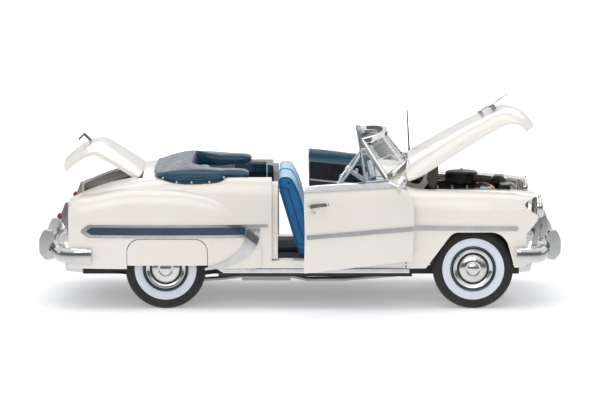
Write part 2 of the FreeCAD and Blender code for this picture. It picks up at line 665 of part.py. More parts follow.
def hood_hinges():
    """Gooseneck arms that carry the hood and pass under the cowl's edge."""
    arms = []
    for y in (-HINGE_ARM_Y, HINGE_ARM_Y):
        path = [(HOOD_PIN_X - 2, HOOD_PIN_Z + 1.6, 1.5), (HOOD_PIN_X - 2, HOOD_PIN_Z - 8.0, 3),
                (HOOD_PIN_X + 6, HOOD_PIN_Z - 14.0, 4), (HOOD_PIN_X + 14, HOOD_PIN_Z - 10.0, 4),
                (HOOD_PIN_X + 21, HOOD_PIN_Z + 2.4, 0), (HOOD_PIN_X + 17, HOOD_PIN_Z + 2.6, 0),
                (HOOD_PIN_X + 11, HOOD_PIN_Z - 7.6, 3), (HOOD_PIN_X + 6, HOOD_PIN_Z - 10.4, 3),
                (HOOD_PIN_X + 2, HOOD_PIN_Z - 6.0, 3), (HOOD_PIN_X + 2, HOOD_PIN_Z + 1.6, 1.5)]
        arm = side_prism(path, y - HINGE_ARM_W / 2, y + HINGE_ARM_W / 2)
        bore = rod(V(HOOD_PIN_X, y - 3, HOOD_PIN_Z), V(HOOD_PIN_X, y + 3, HOOD_PIN_Z),
                   HINGE_PIN_R + RUNNING_CLEARANCE)
        arms.append(arm.cut(bore))
    return arms


def hinge_seats(profile, pin_x, pin_z):
    """Pins on the body, each between two cheeks of the given side outline."""
    seats = []
    for y in (-HINGE_ARM_Y, HINGE_ARM_Y):
        seats.append(rod(V(pin_x, y - CHEEK_Y, pin_z), V(pin_x, y + CHEEK_Y, pin_z), HINGE_PIN_R))
        for side in (-1, 1):
            y0, y1 = sorted((y + side * (CHEEK_Y - CHEEK_T), y + side * CHEEK_Y))
            seats.append(side_prism(profile, y0, y1))
    return seats


def lid_profile(share, wall):
    low_x = LID_LIP_X + 3.0 * share**2
    low_z = LID_LIP_Z
    points = []
    steps = 5
    last = LID_PEAK_X + 6.0
    for i in range(steps + 1):
        x = LID_FRONT_X + (last - LID_FRONT_X) * i / steps
        points.append((x, top_height(x, share * LID_HALF)))
    x0, z0 = points[-1]
    for angle in (25, 45, 60, 75, 90):
        s, c = math.sin(math.radians(angle)), math.cos(math.radians(angle))
        points.append((x0 + (low_x - x0) * s**0.9, low_z + (z0 - low_z) * max(c, 0.0)**0.85))
    inner = []
    for i, (x, z) in enumerate(points):
        ahead = points[min(i + 1, len(points) - 1)]
        behind = points[max(i - 1, 0)]
        dx, dz = ahead[0] - behind[0], ahead[1] - behind[1]
        length = math.hypot(dx, dz)
        inner.append((x - wall * dz / length, z + wall * dx / length))
    y = share * LID_HALF
    outer = [V(x, y, z) for x, z in points]
    under = [V(x, y, z) for x, z in reversed(inner)]
    return Part.Wire([spline(outer), Part.LineSegment(outer[-1], under[0]).toShape(),
                      spline(under), Part.LineSegment(under[-1], outer[0]).toShape()])


def make_lid():
    edge = 1 - PANEL_GAP / 2 / LID_HALF
    shares = [-edge, -0.8, -0.4, 0, 0.4, 0.8, edge]
    shell = Part.makeLoft([lid_profile(s, LID_WALL) for s in shares], True)
    flanges = [Part.makeLoft([lid_profile(side * edge, 2.2), lid_profile(side * (edge - 0.04), 2.2)], True)
               for side in (-1, 1)]
    return fused([shell] + flanges)


# Glass and its frames
def screen_curve(base, lift=0.0, ahead=0.0):
    """Points of the windscreen's lower or upper edge, from right to left."""
    if base:
        tip, corner = V(SCREEN_BASE_X, 0, SCREEN_BASE_Z), V(SCREEN_CORNER_X, SCREEN_CORNER_Y, SCREEN_CORNER_Z)
    else:
        tip, corner = V(HEADER_X, 0, HEADER_Z), V(HEADER_CORNER_X, HEADER_CORNER_Y, HEADER_CORNER_Z)
    points = []
    for s in (-1, -0.75, -0.4, 0, 0.4, 0.75, 1):
        share = 0.25 * s**2 + 0.75 * s**4
        points.append(V(tip.x + (corner.x - tip.x) * share + ahead, corner.y * s,
                        tip.z + (corner.z - tip.z) * share + lift))
    return points


def rail_along(points, width, height):
    """Bar of rectangular section that follows a curve of points."""
    wires = []
    for i, p in enumerate(points):
        run = points[min(i + 1, len(points) - 1)] - points[max(i - 1, 0)]
        out = V(run.y, -run.x, 0).normalize() * (width / 2)
        up = V(0, 0, height / 2)
        wires.append(Part.makePolygon([p + out + up, p - out + up, p - out - up, p + out - up, p + out + up]))
    return Part.makeLoft(wires, True)


def make_screen_frame():
    base = rail_along(screen_curve(True), 2.0, 2.2)
    header = rail_along(screen_curve(False), 2.6, 2.2)
    pillars = []
    for side in (-1, 1):
        foot = V(SCREEN_CORNER_X, side * (SCREEN_CORNER_Y - 0.4), SCREEN_CORNER_Z - 0.6)
        head = V(HEADER_CORNER_X, side * (HEADER_CORNER_Y - 0.4), HEADER_CORNER_Z + 0.4)
        pillars.append(rod(foot, head, FRAME_R + 0.1))
    return fused([base, header] + pillars)


def make_screen_glass():
    wires = []
    for low, high in zip(screen_curve(True, 1.15, 0.3), screen_curve(False, -1.15, 0.3)):
        low, high = V(low.x, low.y * 0.94, low.z), V(high.x, high.y * 0.94, high.z)
        back = V(-GLASS_T, 0, 0)
        wires.append(Part.makePolygon([low, high, high + back, low + back, low]))
    return Part.makeLoft(wires, True)


def make_vent_frame():
    foot_z = BELT_Z - 1.2
    rear_foot, rear_top = V(VENT_REAR_X, VENT_Y, foot_z), V(VENT_REAR_X - 0.4, VENT_Y - 4.5, VENT_TOP_Z)
    front_foot, front_top = V(43.4, VENT_Y - 0.4, foot_z), V(31.4, VENT_Y - 4.7, VENT_TOP_Z)
    return fused([bent_rod([rear_foot, rear_top], 0.75), bent_rod([rear_top, front_top, front_foot], 0.75),
                  rod(rear_foot + V(0, 0, 1.6), front_foot + V(0, 0, 1.6), 0.7)])


def make_vent_glass():
    foot_z = BELT_Z + 0.9
    y_low, y_top = VENT_Y - 0.4, VENT_Y - 4.4
    wires = []
    for out in (0.25, -0.25):
        corners = [V(VENT_REAR_X + 0.6, y_low + out, foot_z), V(41.6, y_low + out, foot_z),
                   V(31.2, y_top + out, VENT_TOP_Z - 1), V(VENT_REAR_X + 0.3, y_top + out, VENT_TOP_Z - 1)]
        wires.append(Part.makePolygon(corners + corners[:1]))
    return Part.makeLoft(wires, True, True)


# Inside
def make_floor():
    """Pan with a tunnel, a raised rear part over the axle and a trunk floor."""
    front = FIREWALL_X
    pan = box(-51.0, front, -34.0, 34.0, FLOOR_Z, FLOOR_Z + FLOOR_WALL)
    sides = box(-46.0, front, -40.0, 40.0, FLOOR_Z, FLOOR_Z + FLOOR_WALL)
    toe = side_prism(sharp([(front - 12, FLOOR_Z), (front, 32.0), (front, 33.4),
                            (front - 13, FLOOR_Z + FLOOR_WALL)]), -40, 40)
    tunnel = front_prism([(-6, FLOOR_Z + 0.2, 0), (-4, FLOOR_Z + 5.4, 2), (4, FLOOR_Z + 5.4, 2),
                          (6, FLOOR_Z + 0.2, 0)], -50.0, front - 4)
    kick = box(-51.2, -50.0, -34.0, 34.0, FLOOR_Z, TRUNK_FLOOR_Z + FLOOR_WALL)
    trunk = box(TAIL_X + WALL + 0.1, -51.0, -34.0, 34.0, TRUNK_FLOOR_Z, TRUNK_FLOOR_Z + FLOOR_WALL)
    bulkhead = box(-65.2, -64.0, -34.0, 34.0, TRUNK_FLOOR_Z, 66.0)
    arches = []
    for side in (-1, 1):
        y0, y1 = sorted((side * 34.0, side * 46.5))
        drum = rod(V(REAR_AXLE_X, y0, TYRE_R), V(REAR_AXLE_X, y1, TYRE_R), 25.4)
        hollow = rod(V(REAR_AXLE_X, y0 - 2, TYRE_R), V(REAR_AXLE_X, y1 + 2, TYRE_R), 24.2)
        ring = drum.cut(hollow).common(box(-120, -20, -60, 60, 24.5, 60))
        y0, y1 = sorted((side * 34.0, side * 35.2))
        cheek = rod(V(REAR_AXLE_X, y0, TYRE_R), V(REAR_AXLE_X, y1, TYRE_R), 25.4)
        cheek = cheek.cut(rod(V(REAR_AXLE_X, y0 - 2, TYRE_R), V(REAR_AXLE_X, y1 + 2, TYRE_R), 6.5))
        arches += [ring, cheek.common(box(-120, -20, -60, 60, 24.5, 60))]
    return fused([pan, sides, toe, tunnel, kick, trunk, bulkhead] + arches)


def make_front_seat_back():
    profile = [(-0.6, SEAT_FOOT_Z, 2), (-12.0, 64.4, 3), (-11.6, 69.6, 3), (-4.6, 70.2, 4), (0.2, 61.4, 8),
               (4.8, 44.2, 8), (7.4, 30.0, 2)]
    return side_prism(profile, -SEAT_HALF, SEAT_HALF)


def make_front_cushion():
    profile = [(8.0, SEAT_FOOT_Z, 2), (6.6, CUSHION_TOP_Z - 1.5, 2), (32.0, CUSHION_TOP_Z, 4),
               (34.0, SEAT_FOOT_Z, 2)]
    return side_prism(profile, -SEAT_HALF, SEAT_HALF)


def make_rear_cushion():
    profile = [(-48.6, REAR_FOOT_Z, 2), (-48.0, 43.0, 2), (-25.0, 44.5, 4), (-24.0, REAR_FOOT_Z, 2)]
    return side_prism(profile, -31.5, 31.5)


def make_rear_back():
    foot = TRUNK_FLOOR_Z + FLOOR_WALL + SOFT_GAP
    profile = [(REAR_SEAT_X, foot, 1.5), (REAR_SEAT_X, 67.2, 1.5), (-55.0, 69.8, 2), (-49.6, 69.2, 2.5),
               (-49.0, 50.0, 4), (-49.4, foot, 1.5)]
    return side_prism(profile, -29.0, 29.0)


def make_dash():
    profile = [(SCREEN_REAR_X - 2.4, 66.4, 2), (SCREEN_REAR_X - 1.6, 58.0, 2), (SCREEN_REAR_X + 4.0, 57.0, 1),
               (SCREEN_REAR_X + 4.0, 68.6, 1)]
    hub, tilt = V(*WHEEL_HUB), V(*WHEEL_TILT)
    return side_prism(profile, -39.6, 39.6).cut(rod(hub, hub - tilt * 24, COLUMN_R))


def make_steering():
    hub, tilt = V(*WHEEL_HUB), V(*WHEEL_TILT)
    ring = Part.makeTorus(WHEEL_RING_R, 0.75, hub, tilt)
    column = rod(hub, hub - tilt * 17.5, COLUMN_R)
    boss = rod(hub - tilt * 1.0, hub + tilt * 1.2, 2.4)
    spoke = rod(hub + V(0, -WHEEL_RING_R, 0), hub + V(0, WHEEL_RING_R, 0), 0.7)
    return fused([ring, column, boss, spoke])


def make_boot():
    """Cover over the folded top: a U around the rear seat."""
    half = [(BOOT_REAR_X, 41.0, 10), (-60.0, BOOT_SIDE_Y, 8), (BOOT_SKIRT_X - 1.0, BOOT_SIDE_Y, 1.5),
            (BOOT_SKIRT_X + 1.5, BOOT_ARM_Y, 1.5), (BOOT_FRONT_X, BOOT_ARM_Y, 4), (BOOT_FRONT_X, 31.0, 4),
            (-50.0, 30.6, 6), (REAR_SEAT_X - SOFT_GAP, 30.0, 6)]
    plan = half + [(x, -y, r) for x, y, r in reversed(half)]
    block = plan_prism(plan, BOOT_LOW_Z, ABOVE)
    side = side_prism([(BOOT_REAR_X - 2, BOOT_LOW_Z, 0), (BOOT_REAR_X - 2, 69.4, 2),
                       (BOOT_REAR_X + 6.0, 74.0, 8), (-57.0, BOOT_TOP_Z, 10), (BOOT_SKIRT_X, BOOT_ARM_Z, 20),
                       (BOOT_FRONT_X, BOOT_ARM_Z, 3), (BOOT_FRONT_X, BOOT_LOW_Z, 0)], -60, 60)
    out = BOOT_SIDE_Y + 1.0
    brow = [(out, BOOT_LOW_Z, 0), (out, 70.0, 3), (BOOT_ARM_Y, BOOT_ARM_Z, 6), (27.0, BOOT_ARM_Z, 14),
            (12.0, BOOT_TOP_Z, 20)]
    arch = brow + [(-y, z, r) for y, z, r in reversed(brow)]
    front = front_prism(arch, BOOT_REAR_X - 5, BOOT_FRONT_X + 5)
    under = half_hull(-SOFT_GAP, 50)
    return block.common(side).common(front).cut(under).cut(mirrored(under))


# Trim and lamps
def make_bumper(front):
    """Wrapped bar with two guards; the outer plan is swept at five heights."""
    plan = FRONT_BUMPER if front else REAR_BUMPER
    sign = 1 if front else -1
    wires = []
    for z, back in ((BUMPER_LOW_Z, 1.5), (BUMPER_LOW_Z + 1.4, 0.4), ((BUMPER_LOW_Z + BUMPER_TOP_Z) / 2, 0.0),
                    (BUMPER_TOP_Z - 1.4, 0.4), (BUMPER_TOP_Z, 1.5)):
        outer = []
        inner = []
        for x, y in plan:
            outer.append((x - sign * back, y - back * min(1.0, y / 40) * 0.6))
            inner.append((x - sign * BUMPER_T * 1.6, y - BUMPER_T * min(1.0, y / 40)))
        outer[-1] = (plan[-1][0], outer[-1][1])
        inner[-1] = (plan[-1][0], inner[-1][1])
        left = [V(x, y, z) for x, y in outer]
        right = [V(x, -y, z) for x, y in outer]
        line = list(reversed(left)) + right[1:]
        back_left = [V(x, y, z) for x, y in inner]
        back_right = [V(x, -y, z) for x, y in inner]
        back_line = list(reversed(back_right)) + back_left[1:]
        wires.append(Part.Wire([spline(line), Part.LineSegment(line[-1], back_line[0]).toShape(),
                                spline(back_line), Part.LineSegment(back_line[-1], line[0]).toShape()]))
    bar = Part.makeLoft(wires, True)
    guards = []
    for y in (-GUARD_Y, GUARD_Y):
        face = plan[1][0] - sign * 0.8
        profile = [(face - sign * 1.5, GUARD_LOW_Z + 1.0, 0.6), (sign * (GUARD_TIP - 3.2), GUARD_LOW_Z, 2.0),
                   (sign * GUARD_TIP, 27.0, 4), (sign * GUARD_TIP, 34.0, 4),
                   (sign * (GUARD_TIP - 2.2), GUARD_TOP_Z, 2.5), (face - sign * 0.5, GUARD_TOP_Z - 1.0, 1.5)]
        guards.append(side_prism(profile, y - GUARD_W / 2, y + GUARD_W / 2))
    return bar, guards


def bumper_brackets(front):
    sign = 1 if front else -1
    start = RAIL_FRONT_X if front else RAIL_REAR_X
    plan = FRONT_BUMPER if front else REAR_BUMPER
    end = plan[1][0] - sign * BUMPER_T * 1.0
    low = BUMPER_LOW_Z + 2.0
    knee = (TAIL_X if sign < 0 else start + 2.0) + sign * 2.0
    arms = []
    for y in (-RAIL_Y, RAIL_Y):
        arms.append(side_prism(sharp([(start, RAIL_LOW_Z + 0.6), (start, RAIL_TOP_Z - 0.6),
                                      (knee, RAIL_TOP_Z - 0.2), (knee + sign * 3, low + 3.0),
                                      (end, low + 3.0), (end, low), (knee + sign * 5, low),
                                      (knee + sign * 2, RAIL_LOW_Z + 1.2)]), y - 1.0, y + 1.0))
    return arms


def make_grille():
    """Oval surround with a middle bar and five upright teeth."""
    plan = [(GRILLE_X, 0.0), (GRILLE_X - 0.7, 16.0), (GRILLE_X - 2.7, 32.0), (GRILLE_X - 4.2, GRILLE_END_Y)]
    bars = []
    for low, high, proud in ((46.2, 48.2, 0.0), (38.8, 42.0, -0.6), (32.8, 34.6, -3.0)):
        band = []
        for z in (low, high):
            left = [V(x + proud, y, z) for x, y in plan]
            right = [V(x + proud, -y, z) for x, y in plan]
            line = list(reversed(left)) + right[1:]
            back = [p - V(2.4, 0, 0) for p in reversed(line)]
            band.append(Part.Wire([spline(line), Part.LineSegment(line[-1], back[0]).toShape(),
                                   spline(back), Part.LineSegment(back[-1], line[0]).toShape()]))
        bars.append(Part.makeLoft(band, True, True))
    end_x = plan[-1][0]
    for side in (-1, 1):
        y0, y1 = sorted((side * (GRILLE_END_Y - 2.0), side * GRILLE_END_Y))
        bars.append(side_prism(sharp([(end_x, 48.2), (end_x - 2.4, 48.2), (end_x - 5.4, 32.8),
                                      (end_x - 3.0, 32.8)]), y0, y1))
    for y in (-22, -11, 0, 11, 22):
        back = GRILLE_X - 3.4 - abs(y) * 0.06
        tooth = side_prism([(back, 33.4, 0), (back + 3.0, 34.0, 1), (back + 5.6, 40.4, 2),
                            (back + 4.4, 46.8, 1), (back + 1.0, 47.4, 0)], y - 1.1, y + 1.1)
        bars.append(tooth)
    return fused(bars)


def make_head_rim():
    profile = [(HEAD_R - 1.4, 0.0), (HEAD_R, 0.0), (HEAD_R, 2.0), (HEAD_R - 0.7, 3.0), (HEAD_R - 1.4, 2.4)]
    return lamp_turned(profile, V(NOSE_X - 0.6, HEAD_Y, HEAD_Z))


def make_head_lens():
    profile = [(0.0, -0.6), (HEAD_R - 1.4, -0.6), (HEAD_R - 1.4, 1.0), (2.4, 2.1), (0.0, 2.4)]
    return lamp_turned(profile, V(NOSE_X - 0.6, HEAD_Y, HEAD_Z))


def lamp_turned(profile, centre):
    points = [V(centre.x + a, centre.y + r, centre.z) for r, a in profile]
    return Part.Face(Part.makePolygon(points + [points[0]])).revolve(centre, X_AXIS, 360)


def make_tail_housing():
    """Bullet-shaped housing with a flat seat for the lens."""
    seat = TAIL_BALL_R + 0.3
    profile = [(TAIL_X, 57.0, 0.5), (TAIL_X - 1.6, 56.4, 1), (TAIL_FACE_X, TAIL_Z + seat, 0.8),
               (TAIL_FACE_X, TAIL_Z - seat, 0.8), (TAIL_X - 1.8, 44.0, 2), (TAIL_X, 40.4, 0)]
    return side_prism(profile, TAIL_Y - 2.4, TAIL_Y + 2.4)


def make_tail_lens():
    """Ball with a flat back, turned from a faceted outline."""
    depth = TAIL_BALL_R * 0.4
    profile = [(0.0, 0.0), (TAIL_BALL_R * 0.92, 0.0), (TAIL_BALL_R, -depth)]
    for angle in (30, 52, 72, 90):
        turn = math.radians(angle)
        profile.append((TAIL_BALL_R * math.cos(turn), -depth - TAIL_BALL_R * math.sin(turn)))
    profile[-1] = (0.0, profile[-1][1])
    return lamp_turned(profile, V(TAIL_FACE_X, TAIL_Y, TAIL_Z))


def make_side_trim():
    """Chrome of one rear flank: two long strips joined at the tail, ribbed block and drooping spear."""
    frame = side_prism([(-115.8, 42.0, 1.2), (-111.0, 45.6, 3), (-17.0, 45.6, 0.4), (-17.0, 44.2, 0.4),
                        (-21.3, 44.2, 0), (-21.3, 38.6, 0), (-111.0, 38.6, 3)], 40, 60)
    window = side_prism([(-112.6, 42.0, 0.8), (-109.6, 44.2, 2), (-28.5, 44.2, 0), (-28.5, 40.2, 0),
                         (-109.6, 40.2, 2)], 40, 60)
    spear = [(-21.3, 39.0), (-24.6, 31.8), (-31.8, 26.0), (-40.6, 22.8), (-50.0, 21.4)]
    lower = [(-50.0, 22.6), (-42.2, 25.0), (-35.4, 29.0), (-30.6, 34.0), (-29.0, 39.0)]
    top = spline([V(x, 40, z) for x, z in spear])
    bottom = spline([V(x, 40, z) for x, z in lower])
    close = [Part.LineSegment(V(-50.0, 40, 21.4), V(-50.0, 40, 22.6)).toShape(),
             Part.LineSegment(V(-29.0, 40, 39.0), V(-21.3, 40, 39.0)).toShape()]
    blade = Part.Face(Part.Wire([top, close[0], bottom, close[1]])).extrude(V(0, 20, 0))
    return raised(frame.cut(window).fuse(blade)).removeSplitter()


def make_side_inset():
    window = side_prism([(-112.4, 42.0, 0.8), (-109.5, 44.1, 2), (-28.7, 44.1, 0), (-28.7, 40.3, 0),
                         (-109.5, 40.3, 2)], 40, 60)
    return raised(window, half_body(-INSET_PROUD, BODY_LOW_Z - 1.5))


def make_fender_strip():
    rear = DOOR_FRONT_X + 1.2
    strip = [(rear, 42.6, 0.3), (114.6, 42.0, 1.1), (114.6, 44.4, 1.1), (rear, 45.2, 0.3)]
    return raised(side_prism(strip, 40, 60))


def make_door_trim():
    """Belt moulding, side strip and pull handle of one door."""
    rear, front = DOOR_REAR_X + 0.2, DOOR_FRONT_X - 0.6
    belt_end = SCREEN_CORNER_X + 2
    belt = side_prism(sharp([(rear, 68.0), (belt_end, 66.3), (belt_end, 75), (rear, 75)]), 42.8, 60)
    strip = side_prism([(rear, 44.2, 0.3), (front, 42.8, 0.3), (front, 45.2, 0.3), (rear, 46.4, 0.3)], 40, 60)
    handle = [rod(V(x, 49.0, 61.0), V(x, 51.2, 61.0), 0.8) for x in (-11.4, -2.8)]
    handle.append(side_prism([(-13.2, 60.0, 0.9), (-1.2, 60.7, 0.7), (-1.2, 62.2, 0.7), (-13.2, 62.2, 0.9)],
                             50.9, 52.0))
    return [raised(belt).cut(door_end_wedge()), raised(strip), fused(handle)]


def make_mirror():
    x, y = MIRROR_X, MIRROR_Y
    stem = bent_rod([V(x, y - 2.6, 62.0), V(x, y - 1.0, 66.5), V(x, y, 69.0)], 0.6)
    head = rod(V(x - 0.6, y, 69.6), V(x + 1.2, y, 69.9), 2.3)
    return fused([stem, head])


# Running gear
def tyre_profile():
    half = TYRE_WIDTH / 2
    side = [(BEAD_R, 0.9), (BEAD_R + 1.4, 0.3), (BEAD_R + 4.2, 0.0), (TYRE_R - 1.8, 0.5),
            (TYRE_R - 0.4, 1.7), (TYRE_R, 2.9)]
    return [(r, step - half) for r, step in side] + [(r, half - step) for r, step in reversed(side)]


def rim_profile():
    """Dish and hubcap outside; inside, a hub bored for the axle pin and the rim's well."""
    half = TYRE_WIDTH / 2
    bore = AXLE_PIN_R + RUNNING_CLEARANCE
    web = 0.6
    hub_r = 3.2
    outside = [(BEAD_R, half - 0.6), (RIM_WELL_R + 0.4, half - 0.9), (RIM_WELL_R - 0.5, half - 2.0),
               (HUBCAP_R + 1.0, half - 2.6), (HUBCAP_R + 0.1, half - 2.4), (HUBCAP_R - 0.7, half - 1.2),
               (4.4, half - 0.1), (1.8, half + 0.35), (0.0, half + 0.45)]
    inside = [(0.0, half - HUB_PLATE_T), (bore, half - HUB_PLATE_T), (bore, -web), (hub_r, -web),
              (hub_r, web), (RIM_WELL_R - 0.4, web), (RIM_WELL_R - 0.4, -half + 0.9), (BEAD_R, -half + 0.9)]
    return outside + inside


def wheel_parts(x, side):
    """Tyre and rim with hubcap; side is +1 on the left of the car."""
    centre = V(x, side * HALF_TRACK, TYRE_R)
    return turned(tyre_profile(), centre, side), turned(rim_profile(), centre, side)


def make_knuckle(side):
    """Upright on its kingpin bore, with the stub the wheel turns on."""
    y = side * KINGPIN_Y
    body = rod(V(FRONT_AXLE_X, y, TYRE_R - 4.2), V(FRONT_AXLE_X, y, TYRE_R + 4.2), KNUCKLE_R)
    stub = rod(V(FRONT_AXLE_X, y, TYRE_R), V(FRONT_AXLE_X, side * AXLE_INNER_Y, TYRE_R), AXLE_PIN_R)
    stub = stub.cut(rod(V(FRONT_AXLE_X, y, 0), V(FRONT_AXLE_X, y, ABOVE), KNUCKLE_R - 0.4))
    arm = plan_prism([(FRONT_AXLE_X - 9.5, y - side * 4.4, 0.6), (FRONT_AXLE_X - 9.5, y - side * 2.2, 0.6),
                      (FRONT_AXLE_X + 0.5, y + side * 1.4, 0.3), (FRONT_AXLE_X + 0.5, y - side * 1.4, 0.3)],
                     TYRE_R - 3.6, TYRE_R - 2.2)
    bore = rod(V(FRONT_AXLE_X, y, TYRE_R - 6), V(FRONT_AXLE_X, y, TYRE_R + 6),
               KINGPIN_R + RUNNING_CLEARANCE)
    return fused([fused([body, arm]).cut(bore), stub])


def make_front_axle():
    """Crossmember with the upper and lower arms and the kingpins."""
    x = FRONT_AXLE_X
    rail = RAIL_W / 2
    top = TYRE_R + 6.4
    pieces = [box(x - 4, x + 4, -RAIL_Y - rail, RAIL_Y + rail, RAIL_LOW_Z - ARM_PLATE_T, RAIL_LOW_Z)]
    for side in (-1, 1):
        inner, outer = side * (RAIL_Y - rail), side * (KINGPIN_Y + 2.0)
        for root, tip, z in ((5.5, 1.8, RAIL_LOW_Z - ARM_PLATE_T), (4.2, 1.6, top - ARM_PLATE_T)):
            plan = [(x - root, inner, 0), (x - tip, outer, ARM_PLATE_T), (x + tip, outer, ARM_PLATE_T),
                    (x + root, inner, 0)]
            pieces.append(plan_prism(plan, z, z + ARM_PLATE_T))
        y0, y1 = sorted((inner, side * (RAIL_Y + rail)))
        pieces.append(box(x - 4, x + 4, y0, y1, RAIL_TOP_Z, top))
        pieces.append(rod(V(x, side * KINGPIN_Y, RAIL_LOW_Z - ARM_PLATE_T / 2),
                          V(x, side * KINGPIN_Y, top - ARM_PLATE_T / 2), KINGPIN_R))
    return fused(pieces)


def make_rear_axle():
    """Axle tube with its gear housing, leaf springs and the pins the wheels turn on."""
    tube = rod(V(REAR_AXLE_X, -AXLE_END_Y, TYRE_R), V(REAR_AXLE_X, AXLE_END_Y, TYRE_R), 2.4)
    pin = rod(V(REAR_AXLE_X, -AXLE_INNER_Y, TYRE_R), V(REAR_AXLE_X, AXLE_INNER_Y, TYRE_R), AXLE_PIN_R)
    gears = Part.makeSphere(6.4, V(REAR_AXLE_X, 0, TYRE_R)).common(box(-120, 0, -5.0, 5.0, 0, 60))
    leaf = []
    for lift, seat, radius in ((-1.2, -4.4, 0.5), (-0.2, -2.2, 0.4)):
        line = [(LEAF_REAR_X, RAIL_TOP_Z + lift, radius), (REAR_AXLE_X - 10, TYRE_R + seat, 20),
                (REAR_AXLE_X + 10, TYRE_R + seat, 20), (LEAF_FRONT_X, RAIL_TOP_Z + lift, radius)]
        leaf += line if lift < -1 else list(reversed(line))
    leaves = [side_prism(leaf, *sorted((side * LEAF_Y, side * (LEAF_Y + LEAF_W)))) for side in (-1, 1)]
    return fused([tube, pin, gears] + leaves)


def make_chassis():
    """Two side rails on five cross pieces, with spring hangers and the display stand's screw sockets."""
    rails = []
    for side in (-1, 1):
        y0, y1 = sorted((side * (RAIL_Y - RAIL_W / 2), side * (RAIL_Y + RAIL_W / 2)))
        rails.append(side_prism([(RAIL_REAR_X, RAIL_LOW_Z, 0), (REAR_AXLE_X - 20, RAIL_LOW_Z, 6),
                                 (REAR_AXLE_X - 8, KICK_Z, 4), (REAR_AXLE_X + 8, KICK_Z, 4),
                                 (REAR_AXLE_X + 20, RAIL_LOW_Z, 6), (RAIL_FRONT_X, RAIL_LOW_Z, 0),
                                 (RAIL_FRONT_X, RAIL_TOP_Z, 0), (REAR_AXLE_X + 21.5, RAIL_TOP_Z, 6),
                                 (REAR_AXLE_X + 9.5, KICK_Z + 3.4, 4), (REAR_AXLE_X - 9.5, KICK_Z + 3.4, 4),
                                 (REAR_AXLE_X - 21.5, RAIL_TOP_Z, 6), (RAIL_REAR_X, RAIL_TOP_Z, 0)], y0, y1))
    cross = [box(x - 2, x + 2, -RAIL_Y, RAIL_Y, RAIL_LOW_Z, RAIL_TOP_Z - 1)
             for x in (RAIL_REAR_X + 3, 0.0, RAIL_FRONT_X - 4)]
    posts = []
    for x in MOUNT_X:
        socket = rod(V(x, 0, RAIL_LOW_Z), V(x, 0, FLOOR_Z), 4.0)
        posts.append(socket)
        posts.append(box(x - 3, x + 3, -RAIL_Y, RAIL_Y, RAIL_LOW_Z, RAIL_TOP_Z - 1))
    outriggers = [box(x - 1.5, x + 1.5, *sorted((side * RAIL_Y, side * 40.0)), RAIL_TOP_Z - 0.4, FLOOR_Z)
                  for x in (-36.0, 40.0) for side in (-1, 1)]
    hangers = []
    for side in (-1, 1):
        y0, y1 = sorted((side * RAIL_Y, side * (LEAF_Y + LEAF_W)))
        for x in (LEAF_REAR_X - HANGER_T, LEAF_FRONT_X):
            hangers.append(box(x, x + HANGER_T, y0, y1, RAIL_LOW_Z + 1.6, RAIL_TOP_Z))
    frame = fused(rails + cross + posts + outriggers + hangers)
    for x in MOUNT_X:
        frame = frame.cut(rod(V(x, 0, RAIL_LOW_Z - 1), V(x, 0, RAIL_LOW_Z + MOUNT_DEPTH), MOUNT_R))
    return frame


def make_exhaust():
    low = RAIL_LOW_Z - EXHAUST_R - SOFT_GAP
    pipe = bent_rod([V(68, -9.0, 26.0), V(64, -9.6, 16.0), V(54, -11.0, low), V(24, -26.0, low),
                     V(4, -27.0, low), V(-6, -27.0, MUFFLER_Z)], EXHAUST_R)
    muffler = rod(V(-5, -27.0, MUFFLER_Z), V(-31, -27.0, MUFFLER_Z), MUFFLER_R)
    tail = bent_rod([V(-30, -27.0, MUFFLER_Z), V(-40, -27.6, 13.6), V(-56, -30.0, 13.0)], EXHAUST_R - 0.1)
    return fused([pipe, muffler, tail])


def make_engine():
    block = side_prism([(58.0, 24.0, 2), (58.0, 50.0, 2), (60.0, 59.0, 2), (96.0, 59.0, 2),
                        (99.0, 40.0, 2), (99.0, 26.0, 2), (90, 20.2, 3), (62, 20.2, 3)], -7.0, 7.0)
    rocker = side_prism([(62.0, 58.5, 0), (62.0, 62.4, 1.4), (95.0, 62.4, 1.4), (95.0, 58.5, 0)], -3.6, 3.6)
    return fused([block, rocker])


def make_air_cleaner():
    centre = V(87.6, -3.0, 0)
    can = rod(V(centre.x, centre.y, 62.6), V(centre.x, centre.y, 66.2), 8.4)
    lid = rod(V(centre.x, centre.y, 66.2), V(centre.x, centre.y, 67.2), 7.4)
    nut = rod(V(centre.x, centre.y, 67.2), V(centre.x, centre.y, 68.2), 1.1)
    return fused([can, lid, nut])


def make_radiator():
    core = box(108.0, 111.6, -23.0, 23.0, 26.0, 60.0)
    outline = [(107.0, 59.6, 0), (107.0, 63.0, 1.5), (112.4, 63.0, 1.5), (112.4, 59.6, 0)]
    tank = side_prism(outline, -24.0, 24.0)
    support = box(111.6, 112.8, -30.0, 30.0, 26.0, 58.5).fuse(box(111.6, 112.8, -BAY_Y, BAY_Y, 45.4, 58.5))
    support = support.cut(box(111, 114, -22.0, 22.0, 28, 57))
    hose = bent_rod([V(99.4, 0, 56.0), V(103.0, 0, 60.5), V(108.4, 0, 61.0)], 1.7)
    tray = box(BATTERY_X - 0.6, 111.8, BATTERY_Y - 0.6, BATTERY_Y + 10.6, BATTERY_Z - WALL, BATTERY_Z)
    return fused([core, tank, support, hose, tray])


def make_battery():
    top = BATTERY_Z + 11.4
    case = box(BATTERY_X, BATTERY_X + 9, BATTERY_Y, BATTERY_Y + 10, BATTERY_Z, top)
    posts = [box(BATTERY_X + step, BATTERY_X + step + 2, BATTERY_Y + 2, BATTERY_Y + 4, top, top + 1)
             for step in (1.5, 5.5)]
    return fused([case] + posts)


